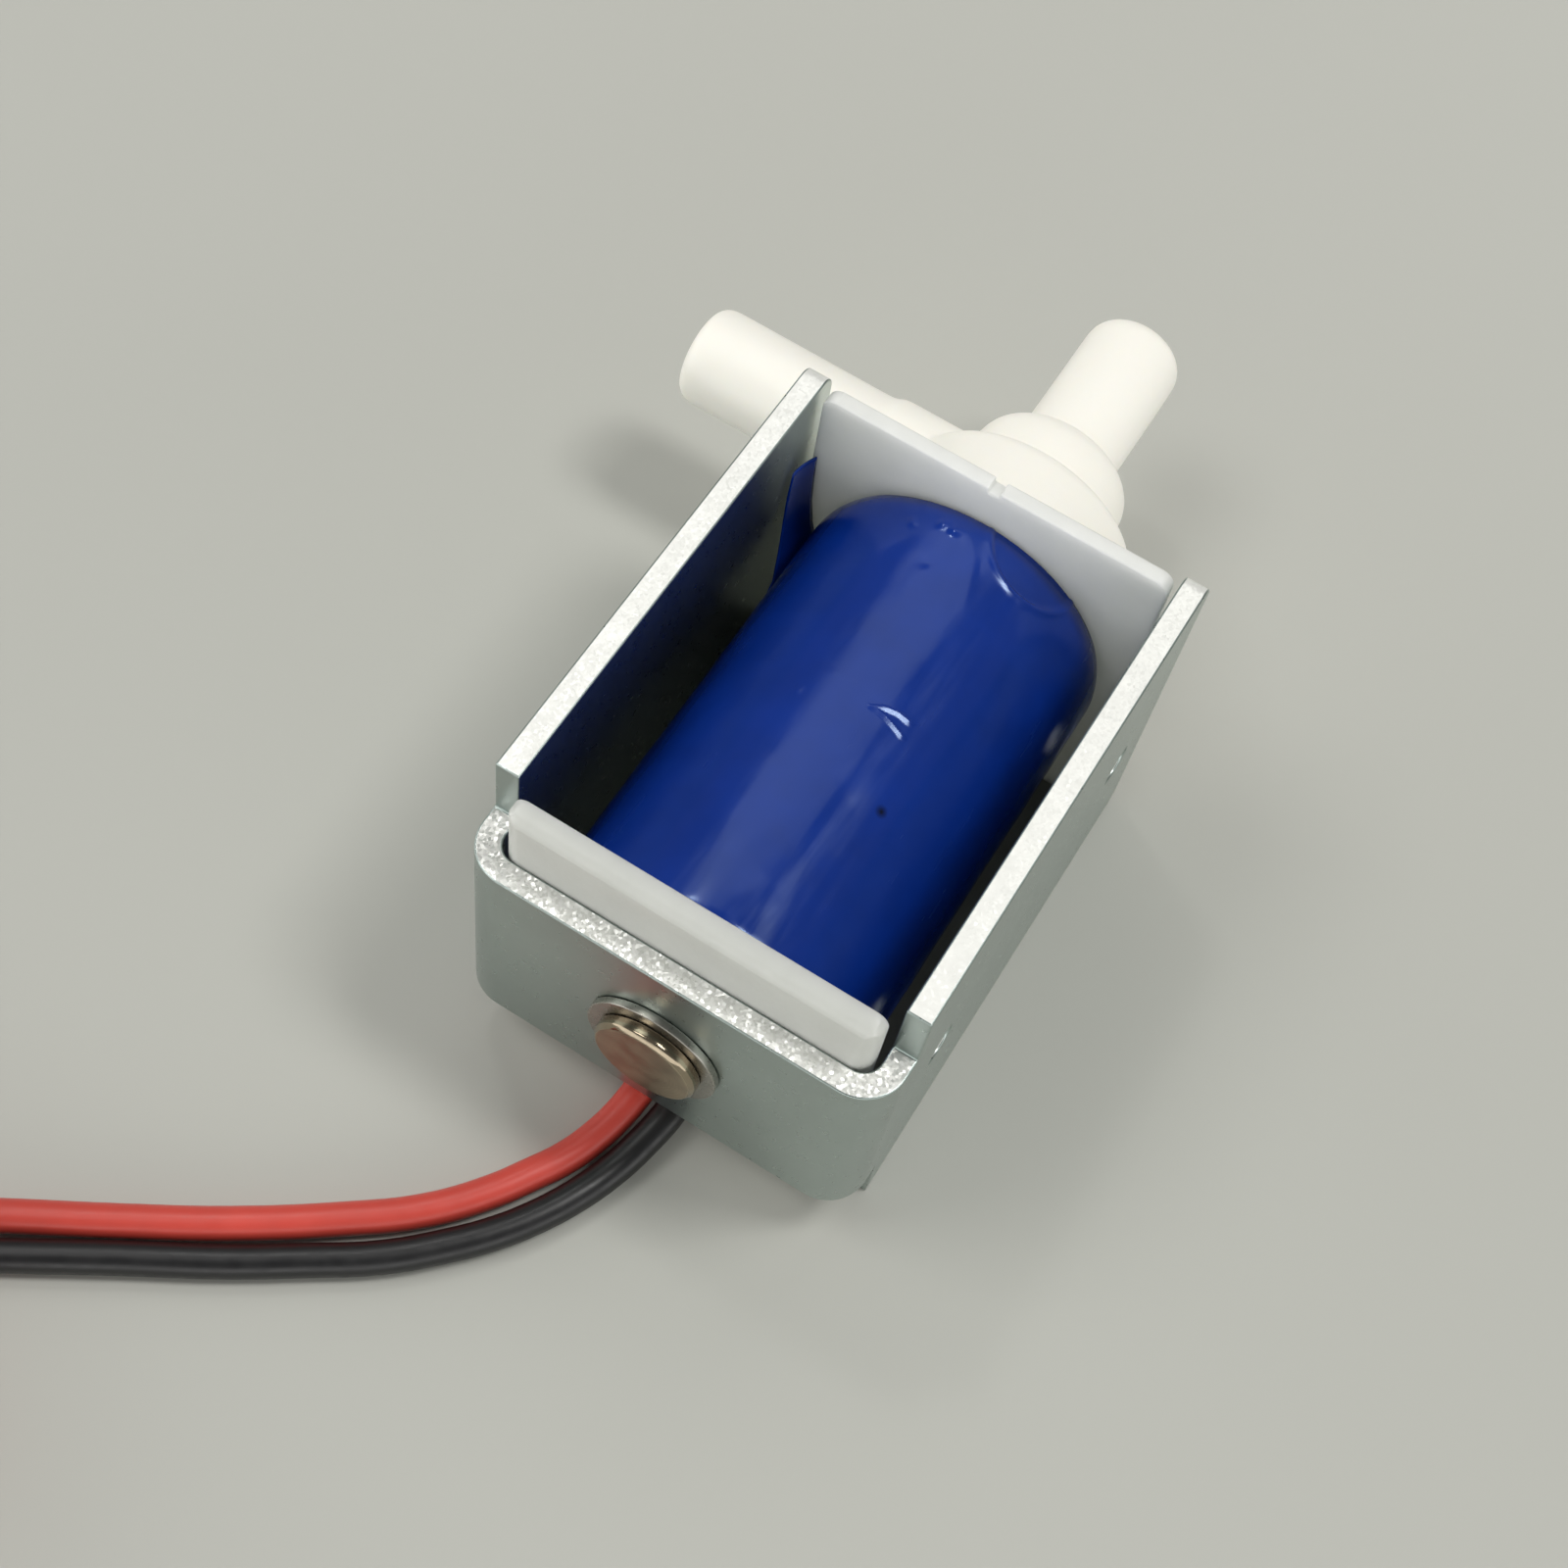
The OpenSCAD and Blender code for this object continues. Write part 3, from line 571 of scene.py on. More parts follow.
def coiled_wire_tree():
    """Node tree of wires that wind about Z, with named sizes."""
    tree = bpy.data.node_groups.new("coiled_wire", "GeometryNodeTree")
    tree.interface.new_socket("Geometry", in_out="OUTPUT", socket_type="NodeSocketGeometry")
    for title in ("Coil Radius", "Coil Height", "Turns", "Wire Radius"):
        tree.interface.new_socket(title, in_out="INPUT", socket_type="NodeSocketFloat")
    for title in ("Strands", "Steps", "Sides"):
        tree.interface.new_socket(title, in_out="INPUT", socket_type="NodeSocketInt")
    tree.interface.new_socket("Material", in_out="INPUT", socket_type="NodeSocketMaterial")
    given = add(tree, "NodeGroupInput").outputs
    helix = add(tree, "GeometryNodeCurveSpiral", {
        "Resolution": given["Steps"], "Rotations": given["Turns"], "Start Radius": given["Coil Radius"],
        "End Radius": given["Coil Radius"], "Height": given["Coil Height"]})
    apart = add(tree, "ShaderNodeMath", {0: tau, 1: given["Strands"]}, operation="DIVIDE").outputs[0]
    index = add(tree, "GeometryNodeInputIndex").outputs["Index"]
    turn = add(tree, "ShaderNodeMath", {0: index, 1: apart}, operation="MULTIPLY").outputs[0]
    strands = add(tree, "GeometryNodeInstanceOnPoints", {
        "Points": add(tree, "GeometryNodePoints", {"Count": given["Strands"]}).outputs[0],
        "Instance": helix.outputs[0],
        "Rotation": add(tree, "ShaderNodeCombineXYZ", {"Z": turn}).outputs[0]})
    section = add(tree, "GeometryNodeCurvePrimitiveCircle", {
        "Resolution": given["Sides"], "Radius": given["Wire Radius"]})
    wires = add(tree, "GeometryNodeCurveToMesh", {
        "Curve": strands.outputs[0], "Profile Curve": section.outputs[0], "Fill Caps": True})
    real = add(tree, "GeometryNodeRealizeInstances", {"Geometry": wires.outputs[0]})
    dressed = add(tree, "GeometryNodeSetMaterial", {
        "Geometry": real.outputs[0], "Material": given["Material"]})
    add(tree, "NodeGroupOutput", {"Geometry": dressed.outputs[0]})
    return tree


def coiled_wire(name, material, to_place, radius, height, turns, wire, strands=1, steps=24, sides=10):
    """Mesh of wires wound by the node tree, moved to its place."""
    holder = bpy.data.objects.new(name, bpy.data.meshes.new(name))
    bpy.context.scene.collection.objects.link(holder)
    modifier = holder.modifiers.new("wire", "NODES")
    tree = bpy.data.node_groups.get("coiled_wire") or coiled_wire_tree()
    modifier.node_group = tree
    sizes = {
        "Coil Radius": radius, "Coil Height": height, "Turns": turns, "Wire Radius": wire / 2,
        "Strands": strands, "Steps": steps, "Sides": sides, "Material": material}
    for item in tree.interface.items_tree:
        if item.in_out == "INPUT":
            modifier[item.identifier] = sizes[item.name]
    mesh = evaluated_mesh(holder)
    mesh.transform(to_place)
    mesh.shade_smooth()
    return mesh


def along(start, direction):
    """Placement that turns Z to a direction and moves the origin to a start."""
    turn = Vector(direction).to_track_quat("Z", "Y").to_matrix().to_4x4()
    return Matrix.Translation(start) @ turn


def joined(meshes):
    """One mesh of several."""
    shape = bmesh.new()
    for mesh in meshes:
        shape.from_mesh(mesh)
    whole = bpy.data.meshes.new("joined")
    shape.to_mesh(whole)
    shape.free()
    whole.shade_smooth()
    return whole


def smooth_step(part):
    """Smooth rise from 0 to 1."""
    part = min(1.0, max(0.0, part))
    return part * part * (3 - 2 * part)


def hump(distance, width):
    """Round hump of height 1 over a distance."""
    return exp(-(distance / width) ** 2)


def unrolled(angle, y):
    """Flat point in millimetres for a place on the film."""
    return radians(angle) * COIL_R / MM, y


def beside_line(point, start, end):
    """Distance of a flat point from a line, and the part of the line that it lies beside."""
    ax, ay = end[0] - start[0], end[1] - start[1]
    bx, by = point[0] - start[0], point[1] - start[1]
    part = min(1.0, max(0.0, (ax * bx + ay * by) / (ax * ax + ay * ay)))
    return hypot(bx - part * ax, by - part * ay), part


class VALVE_OT_stage(bpy.types.Operator):
    """Adds the camera, the pale floor and the soft light"""
    bl_idname = "valve.stage"
    bl_label = "Stage"

    def execute(self, context):
        wanted = context.scene.valve_stage
        context.scene.view_settings.view_transform = "Standard"
        self.add_camera(context)
        self.add_floor(context, wanted)
        self.add_sky(context, wanted)
        for name, setting, part, place, size in LAMPS:
            self.add_light(context, name, place, size, getattr(wanted, setting) * part)
        return {"FINISHED"}

    def add_camera(self, context):
        """The camera at the photograph's viewing angle."""
        lens = bpy.data.cameras.new("camera")
        lens.lens = CAMERA_LENS
        lens.sensor_width = CAMERA_SENSOR
        lens.clip_start = CAMERA_NEAR
        lens.clip_end = CAMERA_FAR
        camera = bpy.data.objects.new("camera", lens)
        context.scene.collection.objects.link(camera)
        around = Matrix.Rotation(radians(CAMERA_AZIMUTH), 4, "Z")
        down = Matrix.Rotation(radians(90 - CAMERA_ELEVATION), 4, "X")
        roll = Matrix.Rotation(radians(CAMERA_ROLL), 4, "Z")
        camera.matrix_world = Matrix.Translation(CAMERA_PLACE) @ around @ down @ roll
        context.scene.camera = camera

    def add_floor(self, context, wanted):
        """A plain pale board under the valve."""
        mesh = bpy.data.meshes.new("floor")
        corners = [(x * FLOOR_HALF, y * FLOOR_HALF, 0) for x, y in ((-1, -1), (1, -1), (1, 1), (-1, 1))]
        mesh.from_pydata(corners, [], [(0, 1, 2, 3)])
        floor = bpy.data.objects.new("floor", mesh)
        context.scene.collection.objects.link(floor)
        material, tree, place = begin_material("pale_board")
        mottle = add(tree, "ShaderNodeTexNoise", {"Vector": place, "Scale": per_mm(FLOOR_MOTTLE)})
        tint = add(tree, "ShaderNodeMix", {
            0: mottle.outputs["Fac"], 6: shade(wanted.floor, 0.97), 7: shade(wanted.floor, 1.03)},
            data_type="RGBA")
        end_material(tree, {"Base Color": tint.outputs[2], "Roughness": 0.75})
        mesh.materials.append(material)

    def add_sky(self, context, wanted):
        """A room with bright walls in front and a dim ceiling."""
        world = bpy.data.worlds.new("soft_room")
        world.use_nodes = True
        tree = world.node_tree
        tree.nodes.clear()
        direction = add(tree, "ShaderNodeSeparateXYZ", {
            "Vector": add(tree, "ShaderNodeTexCoord").outputs["Generated"]})
        front = add(tree, "ShaderNodeMapRange", {
            "Value": direction.outputs["Y"], "From Min": WALLS_BACK[0], "From Max": WALLS_BACK[1],
            "To Min": 1, "To Max": 0}, interpolation_type="SMOOTHSTEP")
        low = add(tree, "ShaderNodeMapRange", {
            "Value": direction.outputs["Z"], "From Min": WALLS_TOP[0], "From Max": WALLS_TOP[1],
            "To Min": 1, "To Max": 0}, interpolation_type="SMOOTHSTEP")
        both = add(tree, "ShaderNodeMath", {0: front.outputs[0], 1: low.outputs[0]}, operation="MULTIPLY")
        light = add(tree, "ShaderNodeMapRange", {
            "Value": both.outputs[0], "To Min": wanted.ceiling, "To Max": wanted.walls})
        sky = add(tree, "ShaderNodeBackground", {
            "Color": ROOM_COLOUR, "Strength": light.outputs["Result"]})
        add(tree, "ShaderNodeOutputWorld", {"Surface": sky.outputs["Background"]})
        context.scene.world = world

    def add_light(self, context, name, place, size, watts):
        """A soft lamp that looks at the valve."""
        lamp = bpy.data.lights.new(name, "AREA")
        lamp.shape = "RECTANGLE"
        lamp.size, lamp.size_y = size
        lamp.energy = watts
        lamp.color = LAMP_COLOUR
        light = bpy.data.objects.new(name, lamp)
        context.scene.collection.objects.link(light)
        turn = (LAMP_AIM - Vector(place)).to_track_quat("-Z", "Y").to_matrix().to_4x4()
        light.matrix_world = Matrix.Translation(place) @ turn
        light.visible_camera = False


def coil_route(radius, entry):
    """Turns of a lead in the coil, between its entry and its free end."""
    steps = COIL_TURNS * COIL_STEPS
    first = atan2(entry[1] - COIL_CENTER[1], entry[0] - COIL_CENTER[0])
    points = []
    for step in range(1, steps):
        turn, part = divmod(step, COIL_STEPS)
        climb = smooth_step((part / COIL_STEPS - COIL_FLAT_SHARE) / (1 - COIL_FLAT_SHARE))
        angle = first + tau * step / COIL_STEPS
        points.append((
            COIL_CENTER[0] + radius * cos(angle), COIL_CENTER[1] + radius * sin(angle),
            COIL_START_Z + TRACK_PITCH * (turn + climb)))
    return points


def lead_curve(name, route, diameter):
    """Round lead along a route in millimetres, as one open curve."""
    data = bpy.data.curves.new(name, "CURVE")
    data.dimensions = "3D"
    data.bevel_depth = diameter / 2
    data.bevel_resolution = 6
    data.resolution_u = 6
    data.use_fill_caps = True
    spline = data.splines.new("BEZIER")
    spline.bezier_points.add(len(route) - 1)
    for point, spot in zip(spline.bezier_points, route):
        point.co = Vector(spot) * MM
        point.handle_left_type = point.handle_right_type = "AUTO"
    return data


class VALVE_OT_leads(bpy.types.Operator):
    """Adds the two leads with their coil, bare ends and tie"""
    bl_idname = "valve.leads"
    bl_label = "Leads"

    def execute(self, context):
        wanted = context.scene.valve_leads
        tin = tinned_copper(wanted.tin)
        red_end = self.add_bare_end(wanted, "red_strands", RED_TAIL, tin, "red_tip")
        black_end = self.add_bare_end(wanted, "black_strands", BLACK_TAIL, tin, "black_tip")
        tie = self.add_tie(wanted)
        red = RED_ROUTE + tuple(coil_route(BLACK_TRACK_R + TRACK_PITCH, RED_ROUTE[-1])) + RED_TAIL
        black = BLACK_ROUTE + tuple(coil_route(BLACK_TRACK_R, BLACK_ROUTE[-1])) + BLACK_TAIL
        self.add_lead(
            context, wanted, "red_cord", red, soft_vinyl("red_vinyl", wanted.red), "red_insulation",
            ("red_lead", "lead_coil", "red_tail"), RED_LENGTH, [red_end])
        self.add_lead(
            context, wanted, "black_cord", black, soft_vinyl("black_vinyl", wanted.black), "black_insulation",
            ("black_lead", "black_tail"), BLACK_LENGTH, [black_end, tie])
        for node in ("red_joint", "black_joint"):
            finish_node(node, tin)
        return {"FINISHED"}

    def add_lead(self, context, wanted, name, route, material, slot, nodes, real_length, on_it):
        """One lead along its whole route."""
        piece = bpy.data.objects.new(name, lead_curve(name, route, wanted.diameter))
        context.scene.collection.objects.link(piece)
        piece.data.materials.append(material)
        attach(piece, "valve")
        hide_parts(*nodes)

    def add_bare_end(self, wanted, name, tail, material, node):
        """The twisted strands at a lead's end."""
        low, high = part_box(node)
        run = Vector((tail[-1][0] - tail[-2][0], tail[-1][1] - tail[-2][1], 0)).normalized()
        to_place = along(Vector(tail[-1]) * MM, run)
        bundle = (high.z - low.z) / 2
        strand = bundle * STRAND_SHARE
        reach = BARE_REACH * MM
        outer = coiled_wire(
            name, material, to_place, bundle - strand / 2, reach, STRAND_TURNS, strand,
            strands=wanted.strands, steps=30)
        core = coiled_wire(name, material, to_place, BARE_CORE_R * MM, reach * BARE_CORE_SHARE, 1, strand)
        return place_piece(name, joined([outer, core]), [material], "valve", "tinned_copper", node)

    def add_tie(self, wanted):
        """The flat band about both leads of the coil."""
        low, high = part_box("lead_tie")
        corner = TIE_CORNER * MM
        across = TRACK_PITCH * MM + wanted.diameter
        half_w = across / 2 + TIE_PLAY * MM
        half_h = (high.z - low.z) / 2 - TIE_INSET * MM
        loop = []
        for quarter, (sx, sz) in enumerate(((1, 1), (-1, 1), (-1, -1), (1, -1))):
            for step in range(TIE_CORNER_STEPS + 1):
                angle = pi / 2 * (quarter + step / TIE_CORNER_STEPS)
                loop.append((sx * (half_w - corner), sz * (half_h - corner), cos(angle), sin(angle)))
        shape = bmesh.new()
        rings = []
        for x, z, dx, dz in loop:
            ring = []
            for out, side in TIE_SECTION:
                reach = corner + out * TIE_WALL * MM
                ring.append(shape.verts.new((x + dx * reach, side * TIE_WIDTH * MM / 2, z + dz * reach)))
            rings.append(ring)
        for here, there in zip(rings, rings[1:] + rings[:1]):
            for k in range(len(TIE_SECTION)):
                beside = (k + 1) % len(TIE_SECTION)
                shape.faces.new((here[k], here[beside], there[beside], there[k]))
        bmesh.ops.recalc_face_normals(shape, faces=shape.faces)
        mesh = bpy.data.meshes.new("tie")
        shape.to_mesh(mesh)
        shape.free()
        middle = Vector((COIL_CENTER[0] * MM, COIL_CENTER[1] * MM, (low.z + high.z) / 2))
        turn = Matrix.Translation(middle) @ Matrix.Rotation(radians(TIE_ANGLE), 4, "Z")
        from_middle = BLACK_TRACK_R * MM - wanted.diameter / 2 + across / 2
        mesh.transform(turn @ Matrix.Translation((from_middle, 0, 0)))
        mesh.shade_smooth()
        mesh.set_sharp_from_angle(angle=radians(40))
        material = nitrile_rubber("tie_rubber", wanted.tie)
        return place_piece("tie_band", mesh, [material], "valve", "tie_plastic", "lead_tie")


class VALVE_OT_frame(bpy.types.Operator):
    """Adds the steel frame with its sheared edges and tapped holes"""
    bl_idname = "valve.frame"
    bl_label = "Frame"

    def execute(self, context):
        wanted = context.scene.valve_frame
        mesh = merged_copy("frame")
        plating = zinc_plated_strip(wanted.plating)
        cut = sheared_steel("cut_edge", wanted.sheared, tilt=0.2, metal=0.25)
        torn = sheared_steel("torn_edge", wanted.sheared, tilt=0.7, metal=0.35)
        piece = place_piece("steel_frame", mesh, [plating, cut, torn], "valve", "plated_steel", "frame")
        for face in mesh.polygons:
            at_tip = face.normal.y > LOOKS_ALONG and face.center.y > FRAME_HIGH.y - TIP_REACH * MM
            at_edge = abs(face.normal.z) > LOOKS_ALONG
            on_web = at_edge and face.center.y < FRAME_LOW.y + WEB_REACH * MM
            face.material_index = 2 if on_web else int(at_edge or at_tip)
        round_edges(piece, wanted.rounding)
        piece.modifiers["rounded edges"].material = 0
        self.add_threads(wanted, plating)
        return {"FINISHED"}

    def add_threads(self, wanted, material):
        """The thread ridges in the tapped holes."""
        ridges = []
        for hole in frame["record"]["mounts"]:
            if hole["kind"] != "threaded_hole":
                continue
            radius, depth = hole["dims"]["r_mm"] * MM, hole["dims"]["length_mm"] * MM
            pitch = wanted.thread_pitch
            run = Vector(hole["axis"])
            bare = pitch * THREAD_BARE
            start = Vector(hole["pos_m"]) - run * (depth / 2 - bare)
            ridges.append(coiled_wire(
                "thread", material, along(start, run), radius, depth - 2 * bare, depth / pitch - THREAD_LOST,
                pitch * THREAD_RIDGE, steps=36, sides=3))
        piece = place_piece("screw_threads", joined(ridges), [material], "valve", "plated_steel")
        piece.data.set_sharp_from_angle(angle=radians(30))


class VALVE_OT_bobbin(bpy.types.Operator):
    """Adds the moulded bobbin with its two flanges"""
    bl_idname = "valve.bobbin"
    bl_label = "Bobbin"

    def execute(self, context):
        wanted = context.scene.valve_plastic
        unshaded = moulded_polyester("clean_polyester", wanted.bobbin)
        shaded_front = moulded_polyester("handled_polyester", wanted.shaded_front)
        mesh = merged_copy("bobbin")
        piece = place_piece("bobbin_moulding", mesh, [unshaded, shaded_front], "valve", "bobbin_plastic", "bobbin")
        # Faces in front of the coil, on the front flange, take the darker copy: painted shade
        for face in mesh.polygons:
            face.material_index = int(face.center.y < COIL_LOW.y)
        round_edges(piece, wanted.rounding)
        return {"FINISHED"}


class VALVE_OT_coil(bpy.types.Operator):
    """Adds the winding and the blue film wrapped over it"""
    bl_idname = "valve.coil"
    bl_label = "Coil"

    def execute(self, context):
        wanted = context.scene.valve_coil
        self.add_winding(wanted)
        film = polyester_film(wanted.film)
        place_piece(
            "film_wrap", joined([self.wrap_mesh(wanted), self.corner_mesh()]), [film], "valve", "blue_film",
            "coil_tape")
        return {"FINISHED"}

    def add_winding(self, wanted):
        """The outer layer of the winding, turn by turn."""
        copper = enamelled_copper(wanted.copper)
        finish_node("winding", copper)
        low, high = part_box("winding")
        radius = high.z - AXIS_Z - wanted.wire * WINDING_SUNK
        reach = high.y - low.y - wanted.wire
        start = Vector((0, low.y + wanted.wire / 2, AXIS_Z))
        turns = int(reach / (wanted.wire * WINDING_SPACING))
        mesh = coiled_wire(
            "turns", copper, along(start, (0, 1, 0)), radius, reach, turns, wanted.wire, steps=32, sides=6)
        place_piece("winding_turns", mesh, [copper], "valve", "copper_wire")

    def crease_height(self, angle, y):
        """Height in millimetres of the creases at a place on the film."""
        spot = unrolled(angle, y)
        height = sum(rise * sin(first + u * spot[0] + v * spot[1]) for rise, first, u, v in FILM_WAVES)
        for line in PLEAT_LINES:
            for start, end in zip(line, line[1:]):
                away, part = beside_line(spot, unrolled(*start), unrolled(*end))
                crest = start[1] + part * (end[1] - start[1])
                flank = PLEAT_FLANK if y < crest else PLEAT_BACK
                height = max(height, PLEAT_SLOPE * PLEAT_FLANK * (1 - away / flank))
        for place, (start, end) in enumerate(zip(RIDGE_LINE, RIDGE_LINE[1:])):
            away, part = beside_line(spot, unrolled(*start), unrolled(*end))
            fade = 1 - (place + part) / (len(RIDGE_LINE) - 1)
            height = max(height, RIDGE_RISE * fade * hump(away, RIDGE_WIDTH))
        for start, end in zip(EDGE_LINE, EDGE_LINE[1:]):
            away, part = beside_line(spot, unrolled(*start), unrolled(*end))
            height += EDGE_RISE * hump(away, EDGE_WIDTH)
        for mark_angle, mark_y, size, depth in FILM_SPOTS:
            mark = unrolled(mark_angle, mark_y)
            height -= depth * hump(hypot(spot[0] - mark[0], spot[1] - mark[1]), size)
        middle = unrolled(*DENT_MIDDLE)
        inside = hypot((spot[0] - middle[0]) / DENT_SIZE[0], (spot[1] - middle[1]) / DENT_SIZE[1])
        height += DENT_RIM_RISE * hump(inside - DENT_RIM, DENT_RIM_WIDTH)
        return height - DENT_DEPTH * smooth_step((DENT_RIM - inside) / DENT_SLOPE)

    def pocket_height(self, angle, y):
        """Height in millimetres of the fold over the lead joints, below the coil."""
        depth = (AXIS_Z - COIL_R - COIL_LOW.z) / MM
        from_bottom = 180 - abs(angle)
        across = 1 - smooth_step((from_bottom - POCKET_FLAT) / POCKET_SIDE)
        return depth * across * (1 - smooth_step((y - POCKET_REAR) / POCKET_SLOPE))

    def row_step(self, y):
        """Spacing in millimetres of the film's rows at a place along the coil."""
        if PLEAT_ROWS[0] < y < PLEAT_ROWS[1]:
            return PLEAT_ROW
        return REAR_ROW if y > REAR_ROWS_FROM else FILM_ROW

    def wrap_mesh(self, wanted):
        """The film round the coil, as one closed wall."""
        low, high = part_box("winding")
        front, rear = low.y / MM, high.y / MM
        angles = [first + step * k for first, step, count in FILM_STRETCHES for k in range(count)]
        points = []

        def ring(y, inset):
            end = FILM_END_DROP * max(0, 1 - min(y - front, rear - y) / FILM_END_REACH) ** 2
            for turn in angles:
                angle = turn if turn <= 180 else turn - 360
                crease = max(wanted.crease * self.crease_height(angle, y) - end, FILM_LOWEST)
                r = COIL_R + (crease + self.pocket_height(angle, y) - inset) * MM
                points.append((r * sin(radians(angle)), y * MM, AXIS_Z + r * cos(radians(angle))))

        outer_rows = [front]
        while outer_rows[-1] < rear - REAR_ROW:
            outer_rows.append(outer_rows[-1] + self.row_step(outer_rows[-1]))
        outer_rows.append(rear)
        inner_rows = outer_rows[::-1][::INNER_ROW_STEP]
        if inner_rows[-1] != front:
            inner_rows.append(front)
        for y in outer_rows:
            ring(y, 0)
        for y in inner_rows:
            ring(y, FILM_THICKNESS)
        count = len(angles)
        total = len(outer_rows) + len(inner_rows)
        faces = []
        for row in range(total):
            here, there = row * count, (row + 1) % total * count
            for k in range(count):
                beside = (k + 1) % count
                faces.append((here + k, there + k, there + beside, here + beside))
        return self.closed_mesh("wrap", points, faces)

    def corner_mesh(self):
        """The corner of the film that has sprung off the coil to the left leg."""
        rows = []
        for low, high in zip(CORNER_LEVELS, CORNER_LEVELS[1:]):
            for step in range(CORNER_STEPS):
                rows.append([a + (b - a) * step / CORNER_STEPS for a, b in zip(low, high)])
        rows.append(CORNER_LEVELS[-1])
        points = []
        for side in (0, CORNER_THICKNESS):
            for z, x, edge in rows:
                for column in range(CORNER_COLUMNS + 1):
                    part = column / CORNER_COLUMNS
                    points.append(Vector((
                        x + side + CORNER_CURL * part * part, edge + (CORNER_REAR - edge) * part, z)) * MM)
        count = CORNER_COLUMNS + 1
        back = len(rows) * count
        faces = []
        for row in range(len(rows) - 1):
            for column in range(CORNER_COLUMNS):
                a, b = row * count + column, row * count + column + 1
                faces.append((a, b, b + count, a + count))
                faces.append((back + a + count, back + b + count, back + b, back + a))
        last = (len(rows) - 1) * count
        rim = list(range(CORNER_COLUMNS)) + list(range(CORNER_COLUMNS, back - 1, count))
        rim += list(range(back - 1, last, -1)) + list(range(last, 0, -count))
        for here, there in zip(rim, rim[1:] + rim[:1]):
            faces.append((there, here, back + here, back + there))
        return self.closed_mesh("corner", points, faces)

    def closed_mesh(self, name, points, faces):
        """A mesh whose faces all point outwards."""
        mesh = bpy.data.meshes.new(name)
        mesh.from_pydata([tuple(point) for point in points], [], faces)
        shape = bmesh.new()
        shape.from_mesh(mesh)
        bmesh.ops.recalc_face_normals(shape, faces=shape.faces)
        shape.to_mesh(mesh)
        shape.free()
        return mesh


class VALVE_OT_core(bpy.types.Operator):
    """Adds the fixed core, its retaining ring and its seal"""
    bl_idname = "valve.core"
    bl_label = "Core"

    def execute(self, context):
        wanted = context.scene.valve_core
        nickel = turned_nickel(wanted.nickel)
        mesh = merged_copy("fixed_core")
        core = place_piece(
            "core_turning", mesh, [nickel, polished_nickel(wanted.nickel)], "valve", "nickel_iron",
            "fixed_core")
        for face in mesh.polygons:
            face.material_index = int(abs(face.normal.y) < CORE_END_FACE)
        round_edges(core, CORE_ROUNDING * MM)
        steel = tempered_steel(wanted.steel)
        ring = place_piece(
            "ring_clip", merged_copy("retaining_ring"), [steel], "valve", "spring_steel", "retaining_ring")
        round_edges(ring, CORE_ROUNDING * MM)
        finish_node("core_seal_ring", nitrile_rubber("nitrile_rubber", wanted.rubber))
        return {"FINISHED"}


class VALVE_OT_plunger(bpy.types.Operator):
    """Adds the plunger with its seal and the return spring"""
    bl_idname = "valve.plunger"
    bl_label = "Plunger"

    def execute(self, context):
        wanted = context.scene.valve_core
        nickel = bpy.data.materials["turned_nickel"]
        piece = place_piece(
            "plunger_turning", merged_copy("plunger"), [nickel], "plunger", "nickel_iron", "plunger")
        round_edges(piece, PLUNGER_ROUNDING * MM)
        finish_node("plunger_seal", bpy.data.materials["nitrile_rubber"])
        self.add_spring(wanted)
        return {"FINISHED"}

    def add_spring(self, wanted):
        """The return spring, which the plunger squashes."""
        steel = bpy.data.materials["tempered_steel"]
        low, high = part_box("return_spring")
        wire = wanted.spring_wire
        start = Vector((0, low.y + wire / 2, AXIS_Z))
        radius = (high.x - low.x - wire) / 2
        mesh = coiled_wire(
            "spring", steel, along(start, (0, 1, 0)), radius, high.y - low.y - wire, wanted.spring_turns,
            wire, steps=40, sides=12)
        piece = place_piece("spring_coil", mesh, [steel], "valve", "spring_steel", "return_spring")
        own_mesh(piece)


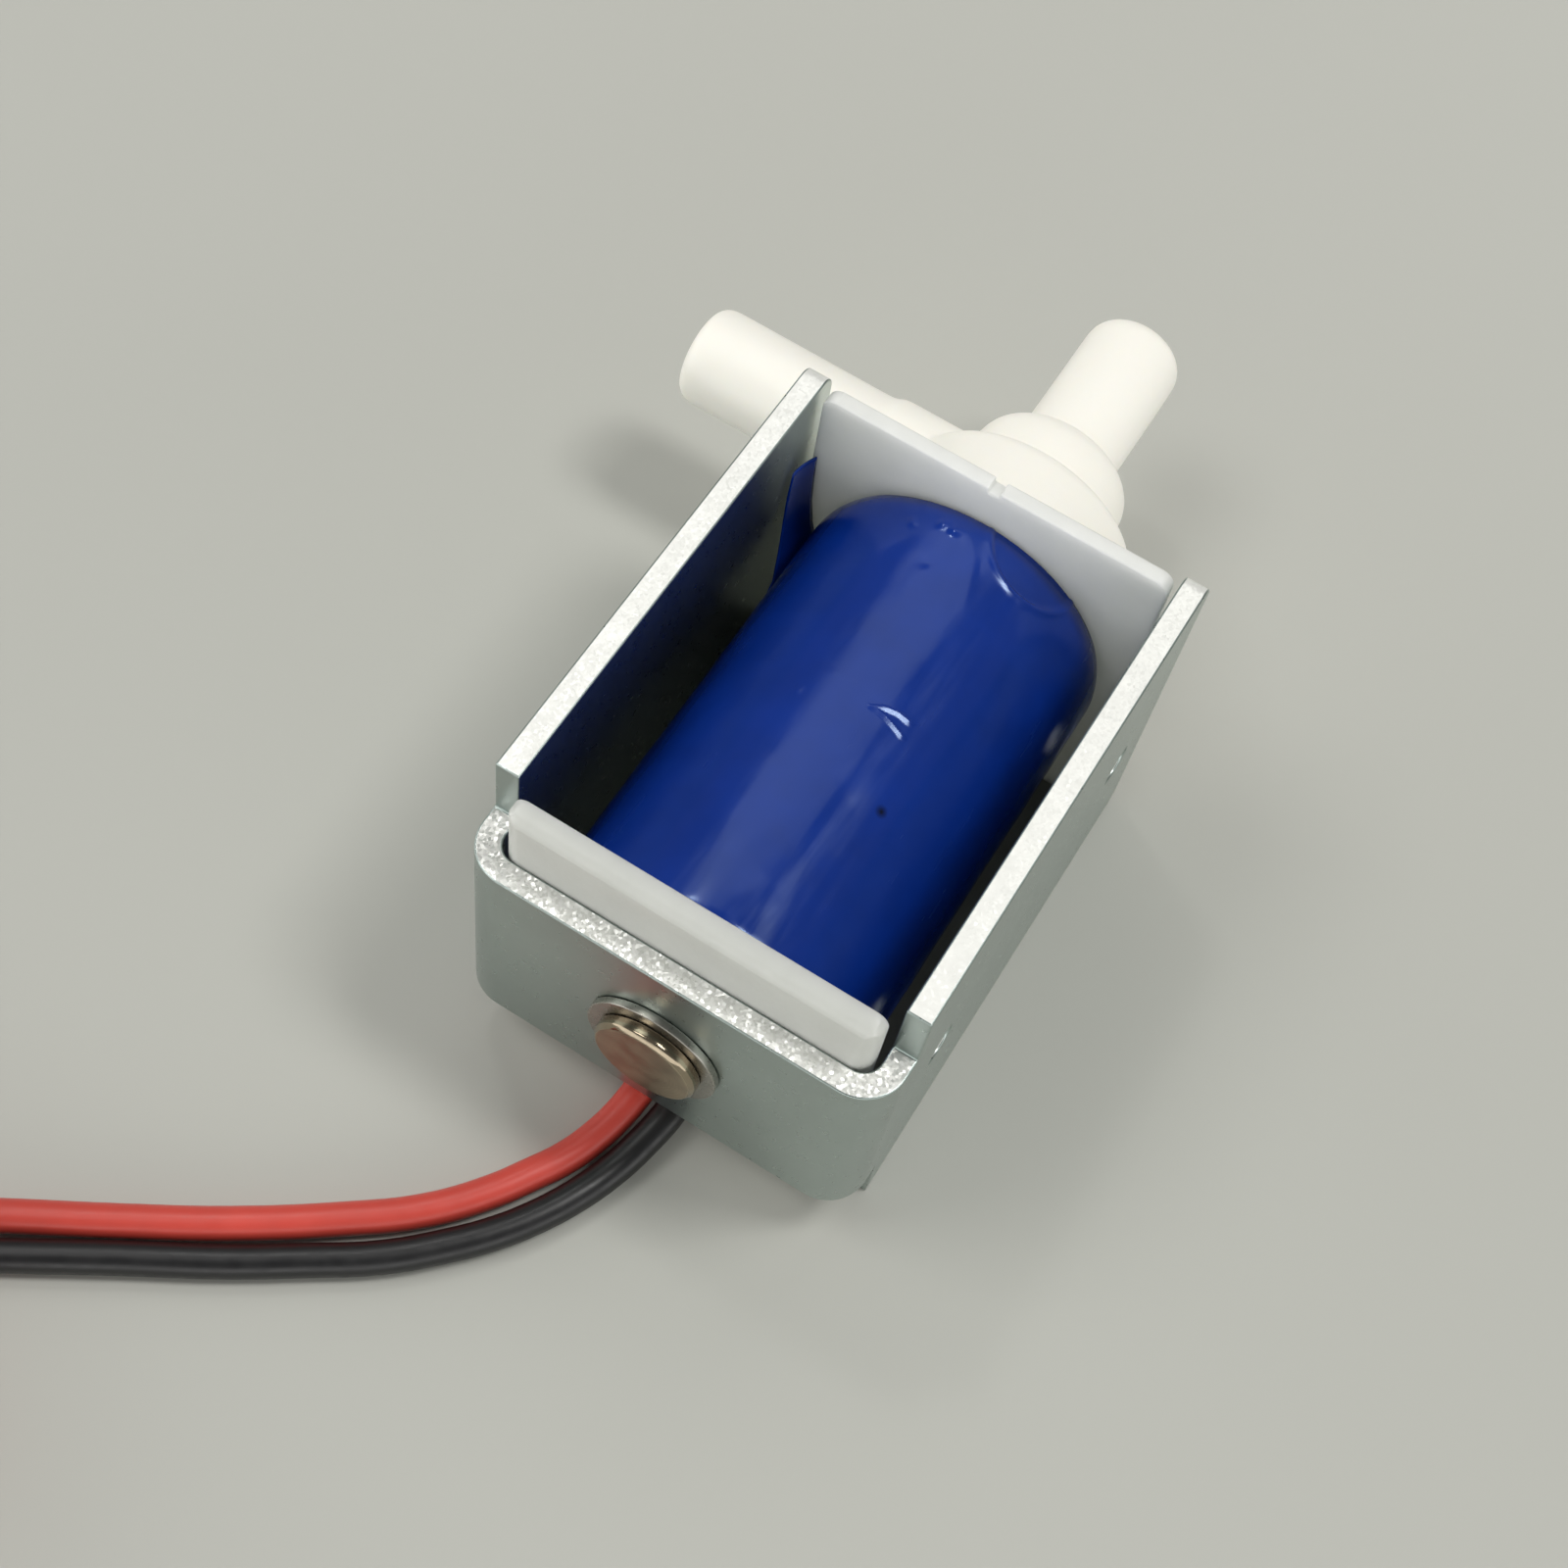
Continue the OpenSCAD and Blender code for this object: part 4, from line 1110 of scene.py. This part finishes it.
class VALVE_OT_valve_end(bpy.types.Operator):
    """Adds the moulded valve end with its two nozzles, and its seal"""
    bl_idname = "valve.valve_end"
    bl_label = "Valve end"

    def execute(self, context):
        wanted = context.scene.valve_plastic
        holder = bpy.data.objects.new("valve_end", merged_copy("valve_body"))
        context.scene.collection.objects.link(holder)
        remesh = holder.modifiers.new("even mesh", "REMESH")
        remesh.mode = "VOXEL"
        remesh.voxel_size = wanted.voxel
        soften = holder.modifiers.new("moulded fillets", "SMOOTH")
        soften.factor = FILLET_FACTOR
        soften.iterations = FILLET_PASSES
        mesh = evaluated_mesh(holder)
        mesh.shade_smooth()
        place_piece(
            "valve_end", mesh, [moulded_nylon(wanted.nylon)], "valve", "cream_nylon", "valve_body")
        finish_node("body_seal_ring", bpy.data.materials["nitrile_rubber"])
        return {"FINISHED"}


class VALVE_PT_panel(bpy.types.Panel):
    """Lists the valve's pieces"""
    bl_idname = "VALVE_PT_panel"
    bl_label = "Micro solenoid valve"
    bl_space_type = "VIEW_3D"
    bl_region_type = "UI"
    bl_category = "Valve"

    def draw(self, context):
        for operator in OPERATORS:
            self.layout.operator(operator.bl_idname)
        for name in SETTINGS:
            group = getattr(context.scene, name)
            box = self.layout.box()
            for key in group.bl_rna.properties.keys():
                if key not in ("rna_type", "name"):
                    box.prop(group, key)


SETTINGS = {
    "valve_stage": ValveStageSettings,
    "valve_frame": ValveFrameSettings,
    "valve_coil": ValveCoilSettings,
    "valve_plastic": ValvePlasticSettings,
    "valve_core": ValveCoreSettings,
    "valve_leads": ValveLeadSettings,
}
OPERATORS = (
    VALVE_OT_stage, VALVE_OT_leads, VALVE_OT_frame, VALVE_OT_bobbin, VALVE_OT_coil, VALVE_OT_core,
    VALVE_OT_plunger, VALVE_OT_valve_end,
)


def register():
    for name, group in SETTINGS.items():
        bpy.utils.register_class(group)
        setattr(bpy.types.Scene, name, PointerProperty(type=group))
    for operator in OPERATORS:
        bpy.utils.register_class(operator)
    bpy.utils.register_class(VALVE_PT_panel)


def unregister():
    bpy.utils.unregister_class(VALVE_PT_panel)
    for operator in reversed(OPERATORS):
        bpy.utils.unregister_class(operator)
    for name, group in reversed(SETTINGS.items()):
        delattr(bpy.types.Scene, name)
        bpy.utils.unregister_class(group)


def main():
    """Makes every piece in order."""
    register()
    for operator in OPERATORS:
        group, name = operator.bl_idname.split(".")
        getattr(getattr(bpy.ops, group), name)()


if __name__ == "__main__":
    main()
